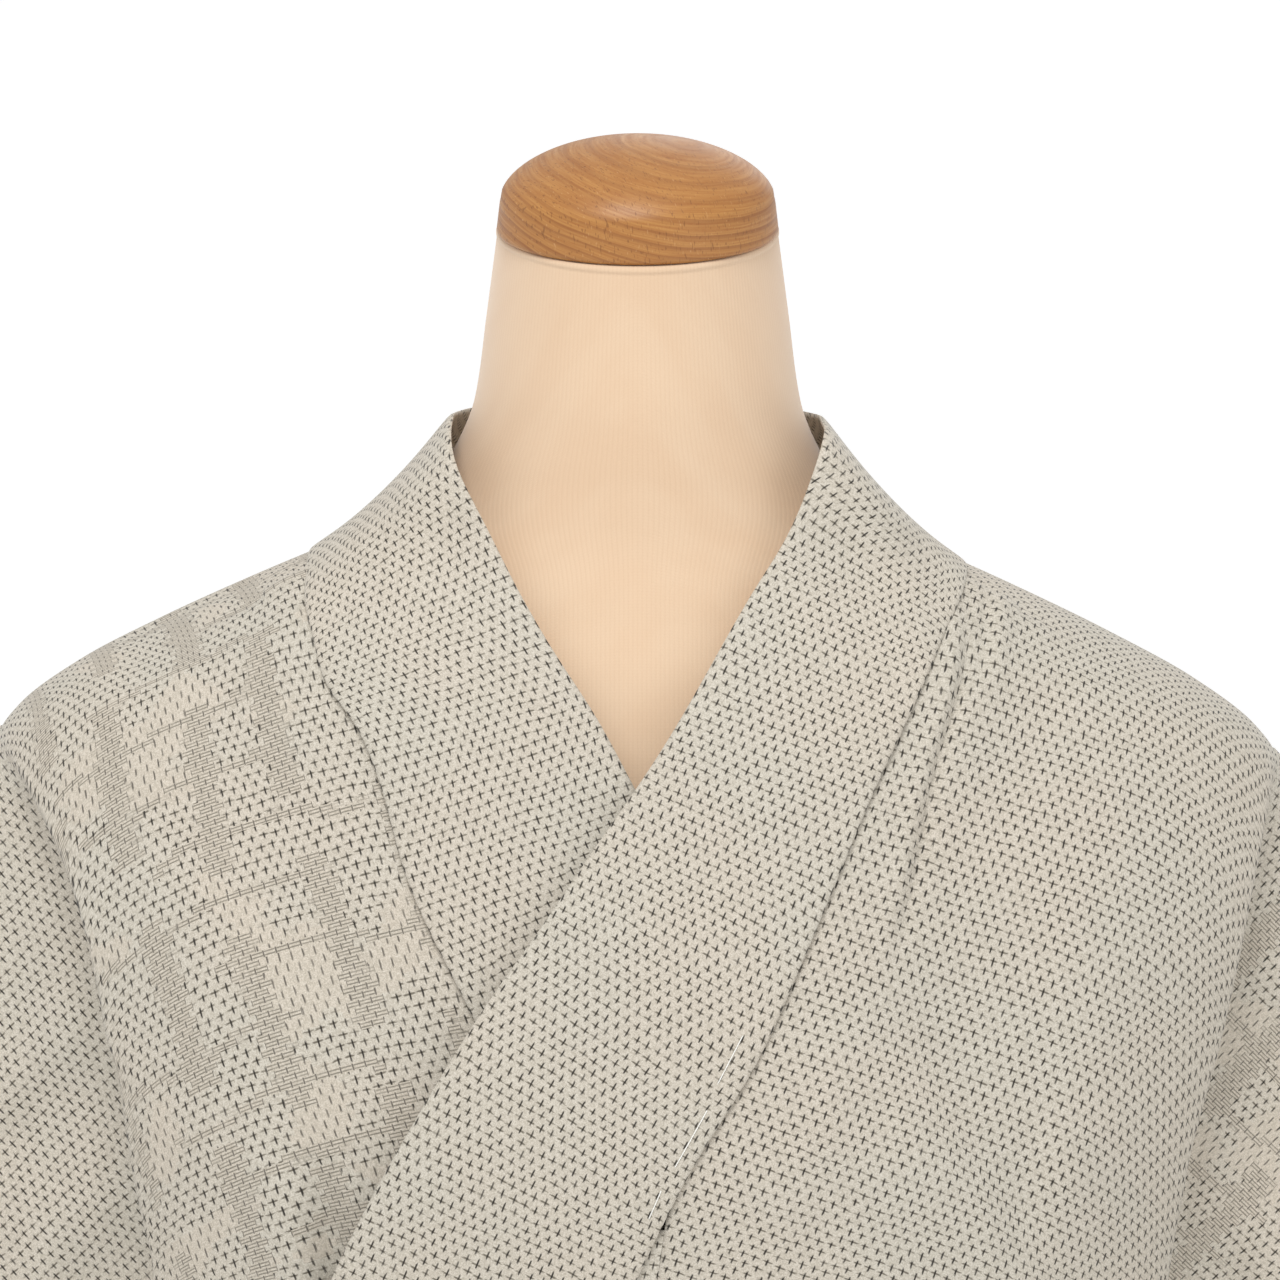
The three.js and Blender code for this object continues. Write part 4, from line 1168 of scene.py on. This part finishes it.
sleeveEdges = {
    "top": rowsToColumns("at x z", [
        (0, 0, 0), (0.2, 44, -49), (0.4, 83, -102), (0.6, 118, -158), (0.8, 150, -216), (1, 180, -275),
    ]),
    "inner": rowsToColumns("at x z", [
        (0, 0, 0), (0.12, -3.5, -52), (0.24, -10, -105), (0.47, -24, -210), (0.7, -32, -330), (1, -38, -475),
    ]),
    "cuff": rowsToColumns("at x z", [(0, 0, 0), (0.47, -4, -230), (1, -18, -480)]),
}
sleeve = {
    "cuffOpening": 0.47,
    "wave": 74,
    "waveDepth": 12,
    "fineWave": 41,
    "fineShare": 0.16,
    "closedHalfGap": 1.6,
    "cornerLift": 42,
    "cornerTuck": 16,
}


def sleeveGrid(side):
    curves = {name: curvesThrough(edge, "at") for name, edge in sleeveEdges.items()}
    down = np.concatenate([np.linspace(0, 0.09, 9)[1:], np.linspace(0.09, 0.95, 62)[1:], [0.975, 0.99]])
    rows = []
    for along in np.linspace(0, 1, 100):
        corner = smoothStep(0.7, 1, along)

        def hung(axis, down):
            return mix(curves["inner"][axis](down), curves["cuff"][axis](down), along)

        def place(down):
            bend = corner * smoothStep(0.75, 1, down)
            x = cut["sleeveSeamX"] + cut["sleeveSeamGap"] + curves["top"]["x"](along)
            x = x + hung("x", down) - sleeve["cornerTuck"] * bend
            z = cut["sleeveSeamTop"] + curves["top"]["z"](along)
            z = z + hung("z", down) + sleeve["cornerLift"] * bend
            depth = sleeve["waveDepth"] * smoothStep(0, 0.35, along) * smoothStep(0.02, 0.4, down)
            slant = 0.1 * (z - 1000)
            wave = np.sin(2 * math.pi * (x - cut["sleeveSeamX"]) / sleeve["wave"])
            fine = sleeve["fineShare"] * np.sin(2 * math.pi * (x + slant) / sleeve["fineWave"] + 1.1)
            return x, z, depth * (wave + fine)

        def halfGap(down):
            opened = cut["sleeveHalfGap"] * np.minimum(1, np.sqrt(down / 0.08))
            sewn = smoothStep(sleeve["cuffOpening"], sleeve["cuffOpening"] + 0.08, down)
            closing = smoothStep(0.8, 1, along) * sewn
            foot = 1 - 0.7 * smoothStep(0.8, 1, down)
            return mix(opened * foot, sleeve["closedHalfGap"], closing)

        def points(down, gap):
            x, z, middle = place(down)
            return np.stack([side * x, middle + gap, z + 0 * middle], -1)

        up = down[::-1]
        fold, foot = points(np.array([0.0]), 0), points(np.array([1.0]), 0)
        rows.append(np.concatenate([fold, points(down, -halfGap(down)), foot, points(up, halfGap(up))]))
    return np.array(rows)


def sleevePiece(name, side, node):
    grid = sleeveGrid(side)
    uv = biasTurn(side * grid[..., 0], grid[..., 2])
    centre, middle = clothAt(grid, uv, side * 330, 1010)
    motifs = [(float(centre), float(middle) - 170, float(middle) + 120, 54)]
    piece = shellMesh(name, grid, uv, cut["clothThickness"], loops=True)
    finishPiece(piece, "silk", silkMaterial(name, motifs), node)


sleevePiece("sleeveLeft", 1, "sleeve_left")
sleevePiece("sleeveRight", -1, "sleeve_right")
print("kimono: sleeves made")


# The dress form: knit over a padded torso, and a turned wood cap

formTable = rowsToColumns("z width front back power", [
    (760, 176, 120, 122, 2.1),
    (820, 173, 118, 121, 2.1),
    (900, 164, 109, 112, 2.1),
    (980, 152, 100, 99, 2.15),
    (1040, 146, 97, 94, 2.2),
    (1095, 146, 100, 96, 2.2),
    (1145, 147, 104, 98, 2.25),
    (1200, 148, 111, 103, 2.3),
    (1253, 151, 118, 109, 2.35),
    (1300, 156, 120, 114, 2.4),
    (1350, 165, 113, 114, 2.35),
    (1380, 176, 104, 110, 2.3),
    (1400, 190, 99, 108, 2.2),
    (1415, 204, 94, 104, 2.15),
    (1430, 210, 89, 101, 2.1),
    (1440, 203.5, 85, 98, 2.1),
    (1450, 192, 81, 96, 2.07),
    (1460, 176, 77, 92, 2.04),
    (1470, 157.2, 72, 88, 2.0),
    (1479, 137.4, 67, 84, 2.0),
    (1487, 120.2, 64, 79, 2.0),
    (1493, 106, 61, 76, 2.0),
    (1510, 76, 57, 70, 2),
    (1525, 64, 56, 62, 2),
    (1547, 54.3, 56, 54, 2),
    (1575, 50.3, 55, 45, 2),
    (1603.4, 46.5, 54.5, 38.5, 2),
])
neck = {
    "lean": math.radians(11),
    "leanStart": 1500,
    "topZ": 1603.4,
    "topY": -8,
    "rollHeight": 2.2,
    "rollDepth": 0.5,
    "clothRadius": 52,
    "ribPitch": 1.5,
}


def knitMaterial():
    tree = MaterialTree("knit")
    across, along = tree.clothPlace()
    vector = tree.vector(across, along)
    rib = ((across / neck["ribPitch"]).fract() - 0.5).size() * 2
    stitch = ((along / 1.1 + rib * 0.35).fract() - 0.5).size() * 2
    cloud = tree.noise(vector, 0.03, 3.0)
    fuzz = tree.noise(vector, 2.2, 4.0, 0.7)
    colour = tree.colourMix(cloud.ramp(0.3, 0.7), fromSrgb(214, 185, 155), fromSrgb(217, 190, 161))
    colour = tree.colourMix(rib.ramp(0.4, 1, (0, 0.16)), colour, fromSrgb(196, 162, 130))
    colour = tree.colourMix(stitch.ramp(0.6, 1, (0, 0.1)), colour, fromSrgb(196, 162, 130))
    colour = tree.colourMix(fuzz.ramp(0.5, 0.8, (0, 0.25)), colour, fromSrgb(224, 200, 174))
    tree.connect(colour, "Base Color")
    tree.bump((1 - rib) * 0.5 + (1 - stitch) * 0.25 + fuzz * 0.2, 0.0002, 0.35)
    tree.constants(Roughness=0.9, Sheen_Weight=0.35, Sheen_Roughness=0.5, Specular_IOR_Level=0.2)
    return tree.material


def closedStack(grid, foot, top):
    # rings joined into a wall, with a fan of faces to a middle point at each end
    rings, count = grid.shape[:2]
    points = np.concatenate([grid.reshape(-1, 3), [foot, top]])
    index = np.arange(rings * count).reshape(rings, count)
    index = np.concatenate([index, index[:, :1]], 1)
    low, high = len(points) - 2, len(points) - 1
    first, last = index[0], index[-1]
    fans = [np.stack([np.full(count // 2, low), first[2::2], first[1:-1:2], first[:-2:2]], -1),
            np.stack([np.full(count // 2, high), last[:-2:2], last[1:-1:2], last[2::2]], -1)]
    return points, np.concatenate([gridQuads(index)] + fans)


def formPiece():
    curves = curvesThrough(formTable)
    torso, throat = np.arange(760, 1500, 7), np.arange(1500, 1600, 2.5)
    heights = np.concatenate([torso, throat, np.linspace(1600, neck["topZ"], 9)])
    angles = np.linspace(0, 2 * math.pi, 160, endpoint=False)
    rings = []
    for z in heights:
        fromRoll = (z - neck["topZ"] + neck["rollHeight"] / 2) / (neck["rollHeight"] / 2 + 0.01)
        roll = neck["rollDepth"] * math.sqrt(max(0, 1 - fromRoll ** 2))
        width, front, back, power = (float(curves[name](z)) for name in ("width", "front", "back", "power"))
        x, y = roundedPoint(width + roll, front + roll, back + roll, power, angles)
        lean = float(smoothStep(neck["leanStart"], neck["topZ"], z)) * math.tan(neck["lean"])
        rings.append(np.stack([x, y, z + (y - neck["topY"]) * lean], -1))
    grid = tilted(np.array(rings))
    hidden = smoothStep(66, 100, np.abs(grid[..., 0])) * (1 - smoothStep(1493, 1505, grid[..., 2]))
    hidden = np.maximum(hidden, 1 - smoothStep(1340, 1400, grid[..., 2]))
    inwards = grid[..., :2] / np.linalg.norm(grid[..., :2], axis=2)[..., None]
    grid[..., :2] -= 5 * hidden[..., None] * inwards
    grid[..., 2] -= 3 * hidden * smoothStep(1400, 1440, grid[..., 2])
    points, faces = closedStack(grid, (0, 0, heights[0]), grid[-1].mean(0))
    lengths = np.cumsum(np.pad(np.linalg.norm(np.diff(grid, axis=0), axis=2), ((1, 0), (0, 0))), axis=0)
    signed = (angles + math.pi) % (2 * math.pi) - math.pi
    around = mix(signed * neck["clothRadius"], grid[..., 0], 1 - smoothStep(1488, 1535, grid[..., 2]))
    uv = np.stack([around, lengths], -1).reshape(-1, 2)
    corners = np.concatenate([uv, [[0, 0], [0, 0]]])[faces] * mm
    turn = 2 * math.pi * neck["clothRadius"] * mm
    across = corners[..., 0]
    wrapped = (across.max(1) - across.min(1)) > turn / 2
    corners[..., 0] += np.where(wrapped[:, None] & (across < 0), turn, 0)
    piece = meshObject("formBody", points * mm, faces, corners)
    finishPiece(piece, "knit", knitMaterial(), "form_body")


formPiece()

cap = {
    "radius": 45.6,
    "bandHeight": 11.3,
    "domeHeight": 19.8,
    "flare": 1.2,
    "ballShare": 0.2,    # how much of the dome is a ball's arc, the rest an oval's
    "seatGap": 0.3,
}


def woodMaterial():
    tree = MaterialTree("wood")
    x, y, z = tree.parts(tree.objectPlace(), 3)
    lean = neck["lean"]
    back, rise = y - neck["topY"], z - neck["topZ"]
    y = back * math.cos(lean) + rise * math.sin(lean)
    z = rise * math.cos(lean) - back * math.sin(lean)
    warp = tree.noise(tree.vector(x, y, z * 2), 0.022, 2.0) - 0.5
    ring = z + x * 0.14 + y * 0.04 - (x - 14) * (x - 14) * 0.0028 + warp * 3.4
    grow = ring * 0.25 + (ring * 0.19).sine() * 0.35
    late = grow.fract().ramp(0.45, 0.92) * grow.fract().ramp(0.94, 1.0, (1, 0))
    grain = tree.noise(tree.vector(ring * 1.6, y * 0.05 - x * 0.02, x * 0.04), 1.0, 4.0, 0.6)
    streak = tree.noise(tree.vector(x * 0.9 + y * 0.5, (x * 0.5 - y * 0.9) * 0.16, z * 0.8), 1.0, 3.0, 0.6)
    fleckPlace = tree.vector((x * 0.88 + y * 0.48) * 2.3, (x * 0.48 - y * 0.88) * 0.55, z * 0.5)
    flecks = tree.noise(fleckPlace, 1.0, 1.0, 0.4)
    colour = tree.colourMix(grain.ramp(0.3, 0.7), fromSrgb(178, 127, 70), fromSrgb(156, 101, 50))
    colour = tree.colourMix(streak.ramp(0.35, 0.7, (0, 0.5)), colour, fromSrgb(167, 116, 62))
    # the latewood rings are the wood's own grain; drawing them darker on the upright band (0.6) than on the
    # dome's top (0.32) is painted shade on the band
    colour = tree.colourMix(late * z.ramp(9, 20, (0.6, 0.32)), colour, fromSrgb(132, 80, 40))
    colour = tree.colourMix(flecks.ramp(0.63, 0.7, (0, 0.5)), colour, fromSrgb(104, 60, 28))
    colour = tree.colourMix(flecks.ramp(0.3, 0.24, (0, 0.35)), colour, fromSrgb(206, 164, 116))
    tree.connect(colour, "Base Color")
    tree.connect(grain.ramp(0.2, 0.8, (0.36, 0.5)), "Roughness")
    tree.bump(flecks.ramp(0.66, 0.8, (1, 0)), 0.00012, 0.4)
    tree.constants(Coat_Weight=0.15, Coat_Roughness=0.3, Specular_IOR_Level=0.3)
    return tree.material


def capPiece():
    radius, rim, dome, flare = cap["radius"], cap["bandHeight"], cap["domeHeight"], cap["flare"]
    profile = [(radius, 0), (radius + 0.8, 0.3), (radius + flare, 1.2)]
    profile += [(radius + flare * (1 - t), mix(1.2, rim, t)) for t in np.linspace(0, 1, 9)[1:-1]]
    profile += [(radius, rim - 0.5), (radius - 0.15, rim)]
    ball = (radius ** 2 + dome ** 2) / (2 * dome)
    for a in np.linspace(math.radians(9), math.pi / 2, 34)[:-1]:
        reach = radius * math.cos(a)
        flat = dome - ball * (1 - math.sqrt(1 - (reach / ball) ** 2))
        profile.append((reach, rim + mix(dome * math.sin(a), flat, cap["ballShare"])))
    reach, height = np.array(profile)[:, :, None].swapaxes(0, 1)
    angles = np.linspace(0, 2 * math.pi, 128, endpoint=False)
    grid = np.stack([reach * np.cos(angles), reach * np.sin(angles), height + 0 * angles], -1)
    points, faces = closedStack(grid, (0, 0, 0), (0, 0, rim + dome))
    lean, seat = neck["lean"], cap["seatGap"]
    turned = points.copy()
    turned[:, 1] = points[:, 1] * math.cos(lean) - points[:, 2] * math.sin(lean)
    turned[:, 2] = points[:, 1] * math.sin(lean) + points[:, 2] * math.cos(lean)
    turned += np.array([0, neck["topY"] - seat * math.sin(lean), neck["topZ"] + seat * math.cos(lean)])
    piece = meshObject("formCap", turned * mm, faces, points[faces][..., :2] * mm)
    finishPiece(piece, "wood", woodMaterial(), "form_cap")


capPiece()


def steelMaterial():
    tree = MaterialTree("steel")
    coordinate = tree.objectPlace()
    brushed = tree.noise(coordinate, 900.0, 2.0)
    cloud = tree.noise(coordinate, 12.0, 3.0)
    colour = tree.colourMix(cloud.ramp(0.3, 0.7), fromSrgb(196, 195, 192), fromSrgb(212, 211, 208))
    tree.connect(colour, "Base Color")
    tree.connect(brushed.ramp(0.2, 0.8, (0.28, 0.42)), "Roughness")
    tree.constants(Metallic=1.0)
    return tree.material


steel = steelMaterial()
for nodeName in ("stand_pole", "stand_base"):
    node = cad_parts[nodeName]
    node.data.materials.clear()
    node.data.materials.append(steel)
print("kimono: form made")


# White basting thread along the over collar's seam, each stitch a short bent strand

thread = {
    "radius": 0.2,
    "lift": 0.12,
    "arch": 0.2,
    "endDepth": 1.5,
    "sides": 6,
    "steps": 14,
    "stitches": [
        # where each stitch starts and ends, x and z
        ((34.1, 1354), (25.1, 1337.2)),
        ((22.8, 1330.9), (11.3, 1310.8)),
        ((7.8, 1305.1), (3.4, 1294.9)),
    ],
}


def bastingThread():
    tree = MaterialTree("bastingThread")
    coordinate = tree.objectPlace()
    twist = tree.noise(coordinate, 2500.0, 2.0)
    colour = tree.colourMix(twist.ramp(0.3, 0.7), fromSrgb(226, 224, 216), fromSrgb(250, 249, 244))
    tree.connect(colour, "Base Color")
    tree.constants(Roughness=0.7, Sheen_Weight=0.3)
    surface = np.array([tuple(vertex.co) for vertex in collarPiece.data.vertices]) / mm
    facing = np.array([tuple(vertex.normal) for vertex in collarPiece.data.vertices])[:, 1] < -0.3
    overSide = np.arange(len(surface)) % (len(surface) // 2) < len(surface) // 4
    surface = surface[facing & overSide]
    points = []
    faces = []
    sides, steps = thread["sides"], thread["steps"]
    for start, end in thread["stitches"]:
        base = len(points)
        for i in range(steps + 1):
            share = i / steps
            x, z = mix(start[0], end[0], share), mix(start[1], end[1], share)
            lift = thread["lift"] + thread["arch"] * math.sin(math.pi * share)
            lift = lift - (thread["endDepth"] if i in (0, steps) else 0)
            near = np.argsort(np.hypot(surface[:, 0] - x, surface[:, 2] - z))[:4]
            centre = np.array([x, surface[near, 1].mean() - lift, z])
            direction = np.array([end[0] - start[0], 0, end[1] - start[1]])
            direction /= np.linalg.norm(direction)
            out = np.array([0.05, -1.0, 0.1])
            out -= direction * out.dot(direction)
            out /= np.linalg.norm(out)
            sideways = np.cross(direction, out)
            for k in range(sides):
                angle = 2 * math.pi * k / sides
                outwards = math.cos(angle) * out + math.sin(angle) * sideways
                points.append(centre + thread["radius"] * outwards)
        for i in range(steps):
            for k in range(sides):
                a, b = base + i * sides + k, base + i * sides + (k + 1) % sides
                faces.append((a, b, b + sides, a + sides))
        tip = base + steps * sides
        faces += [(base, base + k, base + k + 1, base + k + 2) for k in (1, 3)]
        faces += [(tip + k + 2, tip + k + 1, tip + k, tip) for k in (1, 3)]
    points = np.array(points)
    faces = np.array(faces)
    piece = meshObject("bastingThread", points * mm, faces, points[faces][..., [0, 2]] * mm)
    finishPiece(piece, "silk", tree.material)


bastingThread()


# Floor, light and camera

studio = {
    "distance": 2.5,
    "elevation": 6,
    "target": (0.0008, 0, 1.4665),
    "frameWidth": 0.4288,
    "sensorWidth": 36,
    "clipEnd": 2000,
    "worldStrength": 0.67,
    "floorSize": 900,
    "floor": 0.95,
    "floorGlow": 0.38,
    "lights": [
        # name, place, what it faces, size and power
        ("key", (-0.3, -1.4, 3.6), (0, 0, 1.4), 1.4, 43),
        ("fill", (2.2, -2.0, 1.6), (0, 0, 1.3), 1.8, 5),
        ("rim", (0.6, 2.4, 2.6), (0, 0, 1.3), 1.6, 5),
    ],
}


def areaLight(name, place, target, size, power):
    light = bpy.data.lights.new(name, "AREA")
    light.shape = "DISK"
    light.size = size
    light.energy = power
    holder = bpy.data.objects.new(name, light)
    scene.collection.objects.link(holder)
    holder.location = place
    aim = Vector([end - start for start, end in zip(place, target)])
    holder.rotation_euler = aim.to_track_quat("-Z", "Y").to_euler()


def buildStudio():
    bpy.ops.mesh.primitive_plane_add(size=studio["floorSize"], location=(0, 0, 0))
    floor = bpy.context.object
    floor.name = "floor"
    pale = studio["floor"]
    paint = MaterialTree("floorPaint")
    paint.constants(Base_Color=(pale, pale, pale, 1), Roughness=0.95)
    paint.constants(Emission_Color=(1, 1, 1, 1), Emission_Strength=studio["floorGlow"])
    floor.data.materials.append(paint.material)
    world = bpy.data.worlds.new("studio")
    scene.world = world
    world.use_nodes = True
    world.node_tree.nodes["Background"].inputs[0].default_value = (1, 1, 1, 1)
    world.node_tree.nodes["Background"].inputs[1].default_value = studio["worldStrength"]
    for light in studio["lights"]:
        areaLight(*light)
    camera = bpy.data.cameras.new("camera")
    camera.lens = studio["sensorWidth"] * studio["distance"] / studio["frameWidth"]
    camera.sensor_width = studio["sensorWidth"]
    camera.clip_end = studio["clipEnd"]
    holder = bpy.data.objects.new("camera", camera)
    scene.collection.objects.link(holder)
    rise = math.radians(studio["elevation"])
    x, y, z = studio["target"]
    holder.location = (x, y - studio["distance"] * math.cos(rise), z + studio["distance"] * math.sin(rise))
    holder.rotation_euler = (math.pi / 2 - rise, 0, 0)
    scene.camera = holder


buildStudio()
scene.view_settings.view_transform = "Standard"
print("kimono: studio made")
